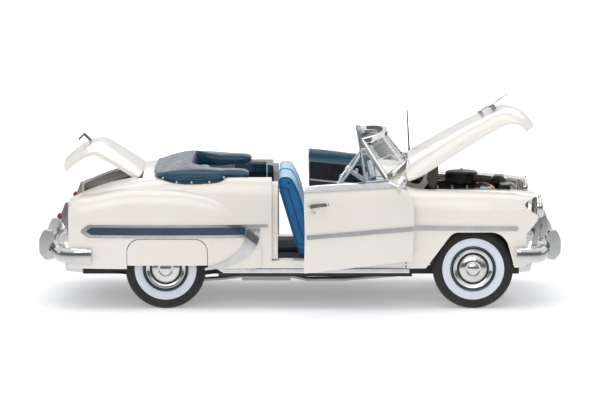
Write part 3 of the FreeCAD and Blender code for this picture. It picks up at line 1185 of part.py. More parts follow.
def make_spare():
    centre = V(-92.0, -13.4, 0)
    foot = TRUNK_FLOOR_Z + FLOOR_WALL
    profile = [(10.4, 0.8), (12.4, 0.0), (19.0, 0.6), (20.0, 2.4), (20.0, 6.4), (19.0, 8.2), (12.4, 8.8),
               (10.4, 8.0)]
    tyre = [V(centre.x + r, centre.y, foot + z) for r, z in profile]
    return Part.Face(Part.makePolygon(tyre + [tyre[0]])).revolve(centre, Z_AXIS, 360)


def make_ornament():
    """Plain streamlined jet with swept wings, on a short stalk."""
    z = top_height(110, 0) + 2.6
    body = [(0.0, 0.0), (0.5, 3.0), (0.95, 9.0), (0.9, 15.0), (0.6, 20.0), (0.0, 24.6)]
    points = [V(104.5 + a, 0, z + r) for r, a in body]
    jet = Part.Face(Part.makePolygon(points + [points[0]])).revolve(V(104.5, 0, z), X_AXIS, 360)
    wings = plan_prism([(121.0, 0, 0), (115.0, 7.0, 0.3), (112.5, 7.0, 0.3), (113.5, 0, 0),
                        (112.5, -7.0, 0.3), (115.0, -7.0, 0.3)], z - 0.3, z + 0.3)
    feet = [box(107.0, 109.0, -0.5, 0.5, top_height(108, 0) - 0.4, z),
            box(114.0, 116.5, -0.5, 0.5, top_height(115, 0) - 1.6, z)]
    return fused([jet, wings] + feet)


def make_antenna():
    foot = V(ANTENNA_X, smooth(CREST_Y, ANTENNA_X), smooth(CREST_HEIGHT, ANTENNA_X) - 0.4)
    tip = foot + V(-ANTENNA_LEAN, 0, ANTENNA_LENGTH)
    return fused([rod(foot, foot + V(-0.1, 0, 2.0), 1.0), rod(foot, tip, 0.35)])


def make_lid_handle():
    x, z = LID_LIP_X + 0.4, 60.0
    return fused([box(x - 3.2, x + 2.5, -1.0, 1.0, z, z + 1.4),
                  box(x - 3.2, x - 2.2, -2.4, 2.4, z - 3.4, z + 1.4)])


def lid_hinges():
    arms = []
    for y in (-HINGE_ARM_Y, HINGE_ARM_Y):
        path = [(LID_PIN_X + 1.6, LID_PIN_Z + 1.2, 1.0), (LID_PIN_X + 1.6, LID_PIN_Z - 1.8, 1.2),
                (LID_PIN_X - 6, LID_PIN_Z - 2.4, 2), (LID_PIN_X - 13, LID_PIN_Z - 1.4, 0),
                (LID_PIN_X - 13, LID_PIN_Z - 0.4, 0), (LID_PIN_X - 5, LID_PIN_Z + 1.8, 0),
                (LID_PIN_X - 1.8, LID_PIN_Z + 1.2, 1)]
        arm = side_prism(path, y - HINGE_ARM_W / 2, y + HINGE_ARM_W / 2)
        bore = rod(V(LID_PIN_X, y - 3, LID_PIN_Z), V(LID_PIN_X, y + 3, LID_PIN_Z),
                   HINGE_PIN_R + RUNNING_CLEARANCE)
        arms.append(arm.cut(bore))
    return arms


def on_both(name, shape, pivot=None):
    """Place a left-hand piece and its mirror image; a door's pieces are turned open about its pin."""
    shapes = shape if isinstance(shape, list) else [shape]
    left, right = [], []
    for piece in shapes:
        twin = mirrored(piece)
        if pivot:
            piece = swung(piece, pivot, Z_AXIS, -DOOR_OPEN["left"])
            twin = swung(twin, V(pivot.x, -pivot.y, pivot.z), Z_AXIS, DOOR_OPEN["right"])
        left.append(piece)
        right.append(twin)
    put(name + "_left", left)
    put(name + "_right", right)


def build():
    door_pin = V(DOOR_PIN_X, DOOR_PIN_Y, 0)
    fender = make_front_fender()
    on_both("front_fender", fender)
    on_both("quarter_panel", make_quarter())
    put("sills", both(make_sill()))
    put("fender_skirts", both(make_skirt()))
    door = make_door()
    vent_frame = make_vent_frame().cut(door)
    on_both("door", door, door_pin)
    trim = [piece.cut(door) for piece in make_door_trim()]
    on_both("door_trim", trim + [vent_frame, make_mirror().cut(door)], door_pin)
    on_both("vent_glass", make_vent_glass().cut(vent_frame), door_pin)
    put("rear_deck", [make_rear_deck()])
    put("tail_panel", [make_tail_panel()])
    put("floor_pan", [make_floor()])
    hood_pin = V(HOOD_PIN_X, 0, HOOD_PIN_Z)
    hood = fused([make_hood()] + hood_hinges())
    put("hood", swung(hood, hood_pin, Y_AXIS, -HOOD_OPEN))
    put("hood_ornament", swung(make_ornament().cut(hood), hood_pin, Y_AXIS, -HOOD_OPEN))
    lid_pin = V(LID_PIN_X, 0, LID_PIN_Z)
    lid = fused([make_lid()] + lid_hinges())
    put("trunk_lid", swung(lid, lid_pin, Y_AXIS, LID_OPEN))
    put("trunk_handle", swung(make_lid_handle().cut(lid), lid_pin, Y_AXIS, LID_OPEN))
    cowl = make_cowl()
    put("cowl", cowl)
    screen_frame = make_screen_frame().cut(cowl)
    put("windscreen_frame", screen_frame)
    put("windscreen_glass", make_screen_glass().cut(screen_frame))
    put("front_seat_back", make_front_seat_back())
    put("front_seat_cushion", make_front_cushion())
    put("rear_seat_cushion", make_rear_cushion())
    put("rear_seat_back", make_rear_back())
    put("dashboard", make_dash().cut(cowl))
    put("steering_wheel", make_steering())
    put("top_boot", make_boot())
    for front in (True, False):
        bar, guards = make_bumper(front)
        put("bumper_front" if front else "bumper_rear", fused([bar] + guards + bumper_brackets(front)))
    put("grille", make_grille())
    put("lamp_rims", both(make_head_rim()) + both(make_tail_housing()))
    put("headlamp_lenses", both(make_head_lens()))
    put("tail_lamp_lenses", both(make_tail_lens()))
    put("side_trim", both(make_side_trim()) + both(make_fender_strip()))
    put("side_inset", both(make_side_inset()))
    put("chassis", make_chassis())
    put("front_axle", make_front_axle())
    put("rear_axle", make_rear_axle())
    put("exhaust", make_exhaust())
    put("engine", make_engine())
    put("air_cleaner", make_air_cleaner())
    put("radiator", make_radiator())
    put("battery", make_battery())
    put("spare_tyre", make_spare())
    put("antenna", make_antenna().cut(fender))
    for side, word in ((1, "left"), (-1, "right")):
        put("knuckle_" + word, make_knuckle(side))
        for x, place in ((FRONT_AXLE_X, "front"), (REAR_AXLE_X, "rear")):
            tyre, rim = wheel_parts(x, side)
            put("tyre_" + place + "_" + word, tyre)
            put("rim_" + place + "_" + word, rim)


build()
os.makedirs("parts", exist_ok=True)
for node, solids in PARTS.items():
    Part.makeCompound(solids).exportStep("parts/" + node + ".step")
print(len(PARTS), "nodes")
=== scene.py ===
import bpy
import bmesh
import json
import math
from mathutils import Matrix, Vector
from mathutils.bvhtree import BVHTree
from mathutils.kdtree import KDTree


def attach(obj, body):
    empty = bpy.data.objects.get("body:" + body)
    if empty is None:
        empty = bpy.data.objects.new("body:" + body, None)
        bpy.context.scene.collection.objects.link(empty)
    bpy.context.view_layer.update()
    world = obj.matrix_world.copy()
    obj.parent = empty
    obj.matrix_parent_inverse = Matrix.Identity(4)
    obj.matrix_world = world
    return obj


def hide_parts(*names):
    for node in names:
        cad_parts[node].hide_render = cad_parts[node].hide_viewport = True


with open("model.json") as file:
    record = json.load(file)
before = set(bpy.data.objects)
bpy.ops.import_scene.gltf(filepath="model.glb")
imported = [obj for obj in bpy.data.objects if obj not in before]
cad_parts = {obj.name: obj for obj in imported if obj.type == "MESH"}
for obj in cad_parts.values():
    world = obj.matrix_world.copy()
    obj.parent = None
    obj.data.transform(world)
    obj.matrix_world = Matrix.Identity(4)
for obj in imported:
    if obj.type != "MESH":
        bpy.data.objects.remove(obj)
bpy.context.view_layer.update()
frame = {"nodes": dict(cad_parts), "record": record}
NODES = frame["nodes"]
MM = 0.001
SIDES = ((1, "left"), (-1, "right"))

# Values shared with the solids, in millimetres
REAR_AXLE, FRONT_AXLE, HALF_TRACK, TYRE_R = -70.9, 91.4, 41.2, 21.2
TURN = {
    "door_left": ((64.5, 46.5, 0), "Z", -39.4),
    "door_right": ((64.5, -46.5, 0), "Z", 36.2),
    "hood": ((53.5, 0, 68.0), "Y", -32.0),
    "trunk_lid": ((-86.2, 0, 68.6), "Y", 45.0),
}


def opened(body):
    """Turn from the shut place, in which pieces are drawn, to the place at rest."""
    if body not in TURN:
        return Matrix.Identity(4)
    pivot, axis, angle = TURN[body]
    pivot = Vector(pivot) * MM
    turn = Matrix.Rotation(math.radians(angle), 4, axis)
    return Matrix.Translation(pivot) @ turn @ Matrix.Translation(-pivot)


# Materials
class Finish:
    def __init__(self, name):
        self.mat = bpy.data.materials.new(name)
        self.mat.use_nodes = True
        self.tree = self.mat.node_tree
        self.nodes, self.links = self.tree.nodes, self.tree.links
        self.shader = self.nodes["Principled BSDF"]
        coord = self.nodes.new("ShaderNodeTexCoord")
        self.place = coord.outputs["Object"]

    def set(self, **values):
        for key, value in values.items():
            socket = self.shader.inputs[key.replace("_", " ")]
            socket.default_value = (*value, 1.0) if isinstance(value, tuple) and len(value) == 3 else value
        return self

    def math(self, op, a, b=None):
        node = self.nodes.new("ShaderNodeMath")
        node.operation = op
        for socket, value in zip(node.inputs, (a, b)):
            if value is None:
                continue
            if isinstance(value, (int, float)):
                socket.default_value = value
            else:
                self.links.new(value, socket)
        return node.outputs[0]

    def axes(self):
        node = self.nodes.new("ShaderNodeSeparateXYZ")
        self.links.new(self.place, node.inputs[0])
        return node.outputs

    def noise(self, scale, detail=3.0, rough=0.55):
        node = self.nodes.new("ShaderNodeTexNoise")
        node.inputs["Scale"].default_value = scale
        node.inputs["Detail"].default_value = detail
        node.inputs["Roughness"].default_value = rough
        self.links.new(self.place, node.inputs["Vector"])
        return node.outputs["Fac"]

    def cells(self, scale):
        node = self.nodes.new("ShaderNodeTexVoronoi")
        node.inputs["Scale"].default_value = scale
        self.links.new(self.place, node.inputs["Vector"])
        return node.outputs["Distance"]

    def mix(self, share, a, b):
        node = self.nodes.new("ShaderNodeMix")
        node.data_type = "RGBA"
        for socket, value in zip((node.inputs["Factor"], node.inputs[6], node.inputs[7]), (share, a, b)):
            if isinstance(value, (int, float)):
                socket.default_value = value
            elif isinstance(value, tuple):
                socket.default_value = (*value, 1.0)
            else:
                self.links.new(value, socket)
        return node.outputs[2]

    def span(self, value, low, high, out_low, out_high):
        node = self.nodes.new("ShaderNodeMapRange")
        for key, number in zip(("From Min", "From Max", "To Min", "To Max"), (low, high, out_low, out_high)):
            node.inputs[key].default_value = number
        self.links.new(value, node.inputs["Value"])
        return node.outputs["Result"]

    def colour(self, value):
        self.links.new(value, self.shader.inputs["Base Color"])
        return self

    def rough(self, value, low, high):
        self.links.new(self.span(value, 0.3, 0.7, low, high), self.shader.inputs["Roughness"])
        return self

    def bump(self, value, strength, distance=0.0002):
        node = self.nodes.new("ShaderNodeBump")
        node.inputs["Strength"].default_value = strength
        node.inputs["Distance"].default_value = distance
        self.links.new(value, node.inputs["Height"])
        last = self.shader.inputs["Normal"]
        if last.is_linked:
            self.links.new(last.links[0].from_socket, node.inputs["Normal"])
        self.links.new(node.outputs["Normal"], last)
        return self


def paint(name, colour, deep, rough=0.2, coat=0.7):
    """Gloss enamel: faint orange peel and slow shade changes."""
    f = Finish(name).set(Roughness=rough, Coat_Weight=coat, Coat_Roughness=0.06, IOR=1.5)
    slow = f.noise(38, 2.0)
    fine = f.noise(900, 2.0)
    f.colour(f.mix(f.span(slow, 0.35, 0.7, 0.0, 1.0), colour, deep))
    f.rough(f.noise(120, 4.0), rough - 0.04, rough + 0.08)
    return f.bump(fine, 0.05, 0.00006)


def chrome(name, colour=(0.86, 0.87, 0.88), rough=0.06, grain=0.04):
    """Bright plating: slight clouding and fine swirl marks."""
    f = Finish(name).set(Metallic=1.0, IOR=2.5)
    f.colour(f.mix(f.span(f.noise(90, 3.0), 0.35, 0.75, 0.0, 1.0), colour, tuple(c * 0.86 for c in colour)))
    f.rough(f.noise(260, 5.0), rough, rough + 0.09)
    return f.bump(f.noise(420, 2.0), grain, 0.00008)


def grained(name, colour, second, rough=0.45, scale=520.0, depth=0.25, sheen=0.0):
    """Vinyl or leather with a fine pebbled grain."""
    f = Finish(name).set(Roughness=rough, Sheen_Weight=sheen, IOR=1.45)
    cell = f.cells(scale)
    f.colour(f.mix(f.span(f.noise(60, 4.0), 0.35, 0.7, 0.0, 1.0), colour, second))
    f.rough(f.noise(180, 4.0), rough - 0.08, rough + 0.12)
    return f.bump(cell, depth, 0.00012).bump(f.noise(140, 3.0), 0.12, 0.0003)


def woven(name, colour, second):
    """Flocked carpet: tufts and worn lighter patches."""
    f = Finish(name).set(Roughness=0.95, Sheen_Weight=0.3)
    tuft = f.noise(700.0, 6.0, 0.7)
    f.colour(f.mix(f.span(tuft, 0.3, 0.7, 0.0, 1.0), colour, second))
    return f.bump(tuft, 0.7, 0.0003)


def cast(name, colour, second, rough=0.5, metallic=0.0, scale=300.0):
    """Satin black or plain cast metal with a sandy skin."""
    f = Finish(name).set(Metallic=metallic)
    sand = f.noise(scale, 5.0, 0.65)
    f.colour(f.mix(f.span(sand, 0.35, 0.7, 0.0, 1.0), colour, second))
    f.rough(f.noise(90, 4.0), rough - 0.1, rough + 0.12)
    return f.bump(sand, 0.25, 0.00015)


def clear(name, colour=(0.97, 0.99, 0.99), rough=0.0):
    """Clear plastic with a little haze."""
    f = Finish(name).set(Transmission_Weight=1.0, IOR=1.45, Base_Color=colour)
    return f.rough(f.noise(70, 3.0), rough, rough + 0.02)


IVORY = paint("ivory_enamel", (0.82, 0.78, 0.70), (0.80, 0.755, 0.675))
NAVY = paint("navy_enamel", (0.012, 0.04, 0.085), (0.018, 0.055, 0.11), 0.25)
DASH = paint("dash_enamel", (0.03, 0.12, 0.24), (0.04, 0.15, 0.28), 0.22)
CHROME = chrome("chrome_plate")
SATIN = chrome("bright_trim", (0.78, 0.79, 0.81), 0.1, 0.06)
STEEL = chrome("plain_steel", (0.36, 0.36, 0.37), 0.32, 0.2)
BLACK = cast("satin_black", (0.012, 0.012, 0.013), (0.03, 0.03, 0.032), 0.42)
ENGINE = cast("engine_black", (0.01, 0.01, 0.011), (0.035, 0.034, 0.034), 0.35)
GREY = cast("grey_cast", (0.28, 0.26, 0.25), (0.36, 0.34, 0.32), 0.45, 0.6)
COPPER = chrome("copper_pipe", (0.75, 0.36, 0.24), 0.2, 0.1)
BLUE = grained("seat_blue", (0.006, 0.125, 0.33), (0.010, 0.16, 0.39))
SKY = grained("seat_light_blue", (0.36, 0.57, 0.76), (0.42, 0.63, 0.80), 0.42)
TEAL = grained("boot_teal", (0.003, 0.035, 0.065), (0.006, 0.055, 0.092), 0.24, 620.0, 0.14, 0.05)
# Near-black vinyl for dark trim; on the quarter linings it is painted shade.
DARK = grained("trim_dark_and_painted_shade", (0.010, 0.009, 0.018), (0.020, 0.018, 0.030), 0.42)
TEAL_PAINT = paint("cap_teal", (0.006, 0.07, 0.115), (0.010, 0.09, 0.14), 0.22)
CARPET = woven("carpet_dark", (0.006, 0.010, 0.016), (0.014, 0.022, 0.032))
RED = Finish("red_lens").set(Transmission_Weight=0.35, IOR=1.49, Roughness=0.08, Coat_Weight=0.6)
RED.colour(RED.mix(RED.span(RED.cells(900), 0.0, 0.6, 0.0, 1.0), (0.62, 0.004, 0.008), (0.30, 0.0, 0.004)))
RED.bump(RED.cells(900), 0.3, 0.0002)
PANE = clear("clear_pane")
LENS = clear("lamp_lens", (0.96, 0.98, 1.0), 0.02)
LENS.bump(LENS.math("SINE", LENS.math("MULTIPLY", LENS.axes()[1], 5200.0)), 0.6, 0.0002)
RUBBER = cast("tyre_rubber", (0.012, 0.0105, 0.010), (0.022, 0.019, 0.017), 0.62, 0.0, 420.0)
WHITEWALL = grained("whitewall", (0.66, 0.70, 0.76), (0.72, 0.75, 0.80), 0.5, 900.0, 0.08)
SEAL = grained("weather_strip", (0.16, 0.16, 0.165), (0.22, 0.22, 0.225), 0.6)
BONE = grained("ivory_plastic", (0.62, 0.66, 0.68), (0.68, 0.71, 0.72), 0.3, 500.0, 0.05)

LOOKS = {
    "ivory_paint": IVORY, "navy_paint": NAVY, "chrome": CHROME, "bright_trim": SATIN, "black_engine": ENGINE,
    "chassis_black": BLACK, "grey_metal": STEEL, "seat_blue": BLUE, "boot_teal": TEAL, "carpet_floor": CARPET,
    "dash_blue": DASH, "clear_glass": PANE, "lamp_glass": LENS, "red_lens": RED, "tyre_rubber": RUBBER,
    "spare_rubber": RUBBER, "rim_metal": CHROME, "steering_plastic": BONE, "black_plastic": BLACK,
    "battery_black": BLACK,
}
MAST = chrome("antenna_steel", (0.10, 0.10, 0.11), 0.25, 0.1)
SLOT_OF = {sub["node"]: sub["material_slot"] for sub in frame["record"]["subparts"]}
for name, node in NODES.items():
    look = MAST if name == "antenna" else LOOKS[SLOT_OF[name]]
    node.data.materials.clear()
    node.data.materials.append(look.mat)


# Making pieces
def piece(name, verts, faces, looks, body, slot, smooth=True, marks=None, sharp=40.0):
    """Mesh from points in mm, drawn with the car shut; marks give each face its material."""
    mesh = bpy.data.meshes.new(name)
    turn = opened(body)
    mesh.from_pydata([turn @ (Vector(v) * MM) for v in verts], [], faces)
    looks = looks if isinstance(looks, (list, tuple)) else [looks]
    for look in looks:
        mesh.materials.append(look.mat)
    if marks:
        mesh.polygons.foreach_set("material_index", marks)
    mesh.validate()
    work = bmesh.new()
    work.from_mesh(mesh)
    bmesh.ops.remove_doubles(work, verts=work.verts, dist=1e-7)
    bmesh.ops.recalc_face_normals(work, faces=work.faces)
    work.to_mesh(mesh)
    work.free()
    if smooth:
        mesh.shade_smooth()
        mesh.set_sharp_from_angle(angle=math.radians(sharp))
    obj = bpy.data.objects.new(name, mesh)
    bpy.context.scene.collection.objects.link(obj)
    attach(obj, body)
    return obj


class Shape:
    """Collects simple parts into one piece."""

    def __init__(self):
        self.verts, self.faces, self.marks = [], [], []

    def add(self, verts, faces, mark=0):
        start = len(self.verts)
        self.verts += [Vector(v) for v in verts]
        self.faces += [[i + start for i in face] for face in faces]
        self.marks += [mark] * len(faces)
        return self

    def rings(self, rings, mark=0, closed=True, caps=True, marks=None, loop=False):
        """Skin over rings of equal length."""
        count = len(rings[0])
        faces, kinds = [], []
        total = len(rings)
        for r in range(total if loop else total - 1):
            for i in range(count if closed else count - 1):
                j = (i + 1) % count
                a, b = r * count, ((r + 1) % total) * count
                faces.append([a + i, a + j, b + j, b + i])
                kinds.append(marks[i] if marks else mark)
        if caps and closed and not loop:
            faces.append(list(range(count))[::-1])
            faces.append([(total - 1) * count + i for i in range(count)])
            kinds += [mark, mark]
        start = len(self.verts)
        self.verts += [Vector(v) for ring in rings for v in ring]
        self.faces += [[i + start for i in face] for face in faces]
        self.marks += kinds
        return self

    def tube(self, points, radius, mark=0, sides=12):
        """Round bar along points, with a radius or one for each point."""
        points = [Vector(p) for p in points]
        radii = radius if isinstance(radius, (list, tuple)) else [radius] * len(points)
        rings = []
        side = None
        for i, p in enumerate(points):
            run = (points[min(i + 1, len(points) - 1)] - points[max(i - 1, 0)]).normalized()
            if side is None:
                side = run.orthogonal().normalized()
            side = (side - run * side.dot(run)).normalized()
            up = run.cross(side)
            rings.append([p + (side * math.cos(a) + up * math.sin(a)) * radii[i]
                          for a in (2 * math.pi * k / sides for k in range(sides))])
        return self.rings(rings, mark)

    def turned(self, profile, centre, axis, sides=48, mark=0, marks=None):
        """Surface turned about a line; the profile is (radius, along) pairs."""
        axis = Vector(axis).normalized()
        side = axis.orthogonal().normalized()
        up = axis.cross(side)
        centre = Vector(centre)
        rings = []
        for k in range(sides):
            a = math.radians(360.0 * k / sides)
            out = side * math.cos(a) + up * math.sin(a)
            rings.append([centre + out * r + axis * t for r, t in profile])
        return self.rings(rings, mark, closed=False, caps=False, marks=marks, loop=True)

    def block(self, low, high, mark=0, round_by=0.0):
        """Box with bevelled upright and level edges."""
        low, high = Vector(low), Vector(high)
        work = bmesh.new()
        bmesh.ops.create_cube(work, size=1.0)
        size, middle = high - low, (high + low) / 2
        for v in work.verts:
            v.co = Vector((v.co.x * size.x, v.co.y * size.y, v.co.z * size.z)) + middle
        if round_by > 0:
            bmesh.ops.bevel(work, geom=list(work.edges),
                            offset=round_by, segments=3, profile=0.6, affect="EDGES")
        work.verts.index_update()
        self.add([v.co.copy() for v in work.verts], [[v.index for v in f.verts] for f in work.faces], mark)
        work.free()
        return self

    def ball(self, centre, radius, mark=0, rows=8, sides=16):
        centre = Vector(centre)
        rings = []
        for i in range(rows + 1):
            a = math.pi * i / rows
            rings.append([centre + Vector((math.sin(a) * math.cos(b),
                                           math.sin(a) * math.sin(b), math.cos(a))) * radius
                          for b in (2 * math.pi * k / sides for k in range(sides))])
        return self.rings(rings, mark, caps=False)

    def mirrored(self):
        twin = Shape()
        twin.verts = [Vector((v.x, -v.y, v.z)) for v in self.verts]
        twin.faces = [list(reversed(f)) for f in self.faces]
        twin.marks = list(self.marks)
        return twin

    def made(self, name, looks, body, slot, **options):
        return piece(name, self.verts, self.faces, looks, body, slot, marks=self.marks, **options)


def curve_points(points, steps=6):
    """Soft line through points, as a Catmull-Rom curve."""
    points = [Vector(p) for p in points]
    line = []
    for i in range(len(points) - 1):
        p0, p1 = points[max(i - 1, 0)], points[i]
        p2, p3 = points[i + 1], points[min(i + 2, len(points) - 1)]
        for k in range(steps):
            t = k / steps
            line.append(0.5 * ((2 * p1) + (p2 - p0) * t + (2 * p0 - 5 * p1 + 4 * p2 - p3) * t * t
                               + (3 * p1 - p0 - 3 * p2 + p3) * t**3))
    line.append(points[-1])
    return line


# Wheels
def wheel(name, x, side, body):
    centre = Vector((x, side * HALF_TRACK, TYRE_R))
    axis = (0, side, 0)
    tread = [(20.75, -3.4), (21.1, -2.9), (21.2, -2.5), (20.75, -2.42), (20.75, -2.12), (21.2, -2.04),
             (21.2, -0.95), (20.75, -0.87), (20.75, -0.57), (21.2, -0.49), (21.2, 0.49), (20.75, 0.57),
             (20.75, 0.87), (21.2, 0.95), (21.2, 2.04), (20.75, 2.12),
             (20.75, 2.42), (21.2, 2.5), (21.1, 2.9),
             (20.75, 3.4)]
    outer = [(20.2, 3.95), (19.4, 4.3), (18.6, 4.45), (18.4, 4.36), (18.1, 4.52), (17.2, 4.62), (16.5, 4.66),
             (16.3, 4.56)]
    white = [(16.15, 4.62), (15.9, 4.7), (14.6, 4.66), (13.4, 4.45), (12.5, 4.1), (12.1, 3.8)]
    inner = [(12.1, -3.8), (13.4, -4.4), (16.0, -4.66), (18.6, -4.45), (19.4, -4.3), (20.2, -3.95)]
    profile = inner + tread + outer + white
    marks = [0] * (len(inner) + len(tread) + len(outer) - 1) + [1] * len(white)
    tyre = Shape().turned(profile + [(12.1, 0)], centre, axis, 144, marks=marks + [0])
    tyre = tyre.made("tyre_" + name, (RUBBER, WHITEWALL), body, "tyre_rubber", sharp=50)
    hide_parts("tyre_" + name)
    dish = [(12.12, 3.75), (12.0, 4.05), (11.75, 4.1), (11.45, 3.9), (11.1, 3.35), (10.75, 3.0)]
    ring = [(10.6, 3.3), (10.4, 3.5), (10.1, 3.5), (9.6, 3.05), (9.1, 2.7), (8.6, 2.6), (8.4, 2.4)]
    gap = [(8.25, 2.0), (7.5, 2.0)]
    cap = [(7.45, 2.6), (7.3, 3.1), (6.9, 3.55), (6.2, 3.95),
           (5.2, 4.3), (4.2, 4.5), (3.7, 4.55), (3.4, 4.42),
           (3.0, 4.4), (2.6, 4.6), (2.0, 4.85), (1.2, 5.02), (0.5, 5.1), (0.0, 5.12)]
    back = [(12.1, -3.8), (11.0, -3.6), (10.5, -2.4), (10.4, 0.4), (3.4, 0.5), (3.2, -0.6), (1.6, -0.6)]
    profile, marks = [], []
    for points, mark in ((dish, 1), (ring, 2), (gap, 0), (cap, 2)):
        profile += points
        marks += [mark] * len(points)
    rim = Shape().turned(profile, centre, axis, 96, marks=marks[:-1])
    rim.turned(back, centre, axis, 64, mark=0)
    for k in range(5):
        a = math.radians(36 + 72 * k)
        spot = centre + Vector((math.cos(a) * 9.3, side * 2.9, math.sin(a) * 9.3))
        rim.ball(spot, 0.28, 2, 4, 8)
    rim = rim.made("rim_" + name, (BLACK, NAVY_RIM, CHROME), body, "rim_metal", sharp=35)
    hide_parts("rim_" + name)


NAVY_RIM = paint("rim_enamel", (0.006, 0.035, 0.055), (0.010, 0.05, 0.075), 0.22)
for side, word in SIDES:
    wheel("front_" + word, FRONT_AXLE, side, "wheel_front_" + word)
    wheel("rear_" + word, REAR_AXLE, side, "wheel_rear_" + word)


# Soft goods
CLOTH_SCALE = 10.0
SEAM_STEP = 0.3
CORNER_STEPS = 4


def seam_points(points):
    """Points along straight runs, about SEAM_STEP apart."""
    line = []
    for a, b in zip(points, points[1:]):
        a, b = Vector(a), Vector(b)
        count = max(1, int((b - a).length / SEAM_STEP))
        line += [a.lerp(b, k / count) for k in range(count)]
    line.append(Vector(points[-1]))
    return line


def rounded(points):
    """Closed outline with (a, b, radius) corners, as plain (a, b) points."""
    line = []
    for i, (a, b, radius) in enumerate(points):
        here = Vector((a, b))
        before = (Vector(points[i - 1][:2]) - here).normalized()
        after = (Vector(points[(i + 1) % len(points)][:2]) - here).normalized()
        for k in range(CORNER_STEPS + 1):
            t = k / CORNER_STEPS
            line.append((1 - t)**2 * (here + before * radius) + 2 * (1 - t) * t * here
                        + t**2 * (here + after * radius))
    return [tuple(p) for p in line]


def slab_form(profile, y0, y1, inset=0.0, round_by=1.6):
    """Closed form with an (x, z) outline; its two ends draw in, as a boxed cushion's do."""
    stations = []
    y0, y1 = y0 + inset, y1 - inset
    for k in range(5):
        a = math.pi / 2 * k / 4
        stations.append((y0 + round_by * (1 - math.sin(a)), round_by * (1 - math.cos(a))))
    stations = sorted(stations) + sorted((y0 + y1 - y, pull) for y, pull in stations)
    return Shape().rings([ring_at(profile, y, pull + inset) for y, pull in stations])


def stuffed(name, form, looks, body, seams=(), held=None, cap=0.8, press=4.0, voxel=0.8,
            colour_of=None):
    """Sewn pad: remeshed, then blown up a little in a cloth run that its seams hold back."""
    scale = MM * CLOTH_SCALE
    mesh = bpy.data.meshes.new(name)
    mesh.from_pydata([v * scale for v in form.verts], [], form.faces)
    work = bmesh.new()
    work.from_mesh(mesh)
    bmesh.ops.remove_doubles(work, verts=work.verts, dist=1e-6)
    bmesh.ops.recalc_face_normals(work, faces=work.faces)
    work.to_mesh(mesh)
    work.free()
    obj = bpy.data.objects.new(name, mesh)
    bpy.context.scene.collection.objects.link(obj)
    remesh = obj.modifiers.new("even", "REMESH")
    remesh.mode = "VOXEL"
    remesh.voxel_size = voxel * scale
    settle(obj)
    tree = None
    if seams:
        points = [p for seam in seams for p in seam_points(seam)]
        tree = KDTree(len(points))
        for i, p in enumerate(points):
            tree.insert(p * scale, i)
        tree.balance()
    group = obj.vertex_groups.new(name="held")
    reach = voxel * 0.75 * scale
    for v in obj.data.vertices:
        near = tree and tree.find(v.co)[2] < reach
        if near or (held and held(v.co / scale)):
            group.add([v.index], 1.0, "REPLACE")
    start = [v.co.copy() for v in obj.data.vertices]
    cloth = obj.modifiers.new("cloth", "CLOTH")
    cloth.settings.quality = 4
    cloth.settings.mass = 0.3
    cloth.settings.use_pressure = True
    cloth.settings.uniform_pressure_force = press
    cloth.settings.vertex_group_mass = "held"
    cloth.settings.effector_weights.gravity = 0.0
    cloth.collision_settings.use_collision = False
    for number in range(1, 21):
        bpy.context.scene.frame_set(number)
    settle(obj)
    bpy.context.scene.frame_set(1)
    limit = cap * scale
    for v, before in zip(obj.data.vertices, start):
        move = v.co - before
        if move.length > limit:
            v.co = before + move * (limit / move.length)
    smooth = obj.modifiers.new("finer", "SUBSURF")
    smooth.levels = smooth.render_levels = 1
    settle(obj)
    looks = looks if isinstance(looks, (list, tuple)) else [looks]
    for look in looks:
        obj.data.materials.append(look.mat)
    if colour_of:
        marks = [colour_of(p.center / scale, p.normal) for p in obj.data.polygons]
        obj.data.polygons.foreach_set("material_index", marks)
    obj.data.transform(opened(body) @ Matrix.Scale(1.0 / CLOTH_SCALE, 4))
    obj.data.shade_smooth()
    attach(obj, body)
    return obj


def settle(obj):
    """Take what the modifiers make as the mesh itself."""
    graph = bpy.context.evaluated_depsgraph_get()
    made = bpy.data.meshes.new_from_object(obj.evaluated_get(graph))
    obj.modifiers.clear()
    old = obj.data
    obj.data = made
    bpy.data.meshes.remove(old)


def piping(shape, points, radius=0.32, mark=0):
    """Round cord sewn into a seam."""
    return shape.tube(curve_points(points, 3), radius, mark, 8)


def ring_at(profile, y, inward):
    """The outline at one place across the car, moved in from its edge."""
    centre = Vector((sum(p[0] for p in profile) / len(profile), sum(p[1] for p in profile) / len(profile)))
    ring = []
    for i, p in enumerate(profile):
        here = Vector(p)
        run = Vector(profile[(i + 1) % len(profile)]) - Vector(profile[i - 1])
        out = Vector((run.y, -run.x)).normalized()
        if out.dot(here - centre) < 0:
            out = -out
        here = here - out * inward
        ring.append(Vector((here.x, y, here.y)))
    return ring


# Seats
SEAT_END = 38.5
BACK_LINE = rounded([(-0.6, 26.8, 2), (-12.0, 64.4, 3), (-11.6, 69.6, 2.6), (-4.6, 70.2, 3.4), (0.2, 61.4, 5),
                     (4.8, 44.2, 6), (7.4, 30.0, 2)])
CUSHION_LINE = rounded([(8.0, 26.8, 2), (6.6, 41.5, 2), (32.0, 43.0, 4), (34.0, 26.8, 2)])
REAR_BACK_LINE = rounded([(-57.0, 31.5, 1.5), (-57.4, 62.0, 2), (-57.2, 69.6, 3.2), (-48.0, 69.6, 4.0),
                          (-48.6, 50.0, 4), (-49.4, 31.5, 1.5)])
REAR_CUSHION_LINE = rounded([(-48.6, 31.5, 2), (-48.0, 43.0, 2), (-25.0, 44.5, 3.4), (-24.0, 31.5, 2)])
SEAM_IN = 0.6
EDGE = 0.47


def front_x(z):
    """Front face of the front seat's back at a height."""
    line = [(61.4, 0.0), (52.0, 3.0), (44.2, 4.7), (36.0, 6.2), (30.0, 7.0)]
    for (za, xa), (zb, xb) in zip(line, line[1:]):
        if zb <= z <= za:
            return xa + (xb - xa) * (za - z) / (za - zb)
    return line[0][1] if z > line[0][0] else line[-1][1]


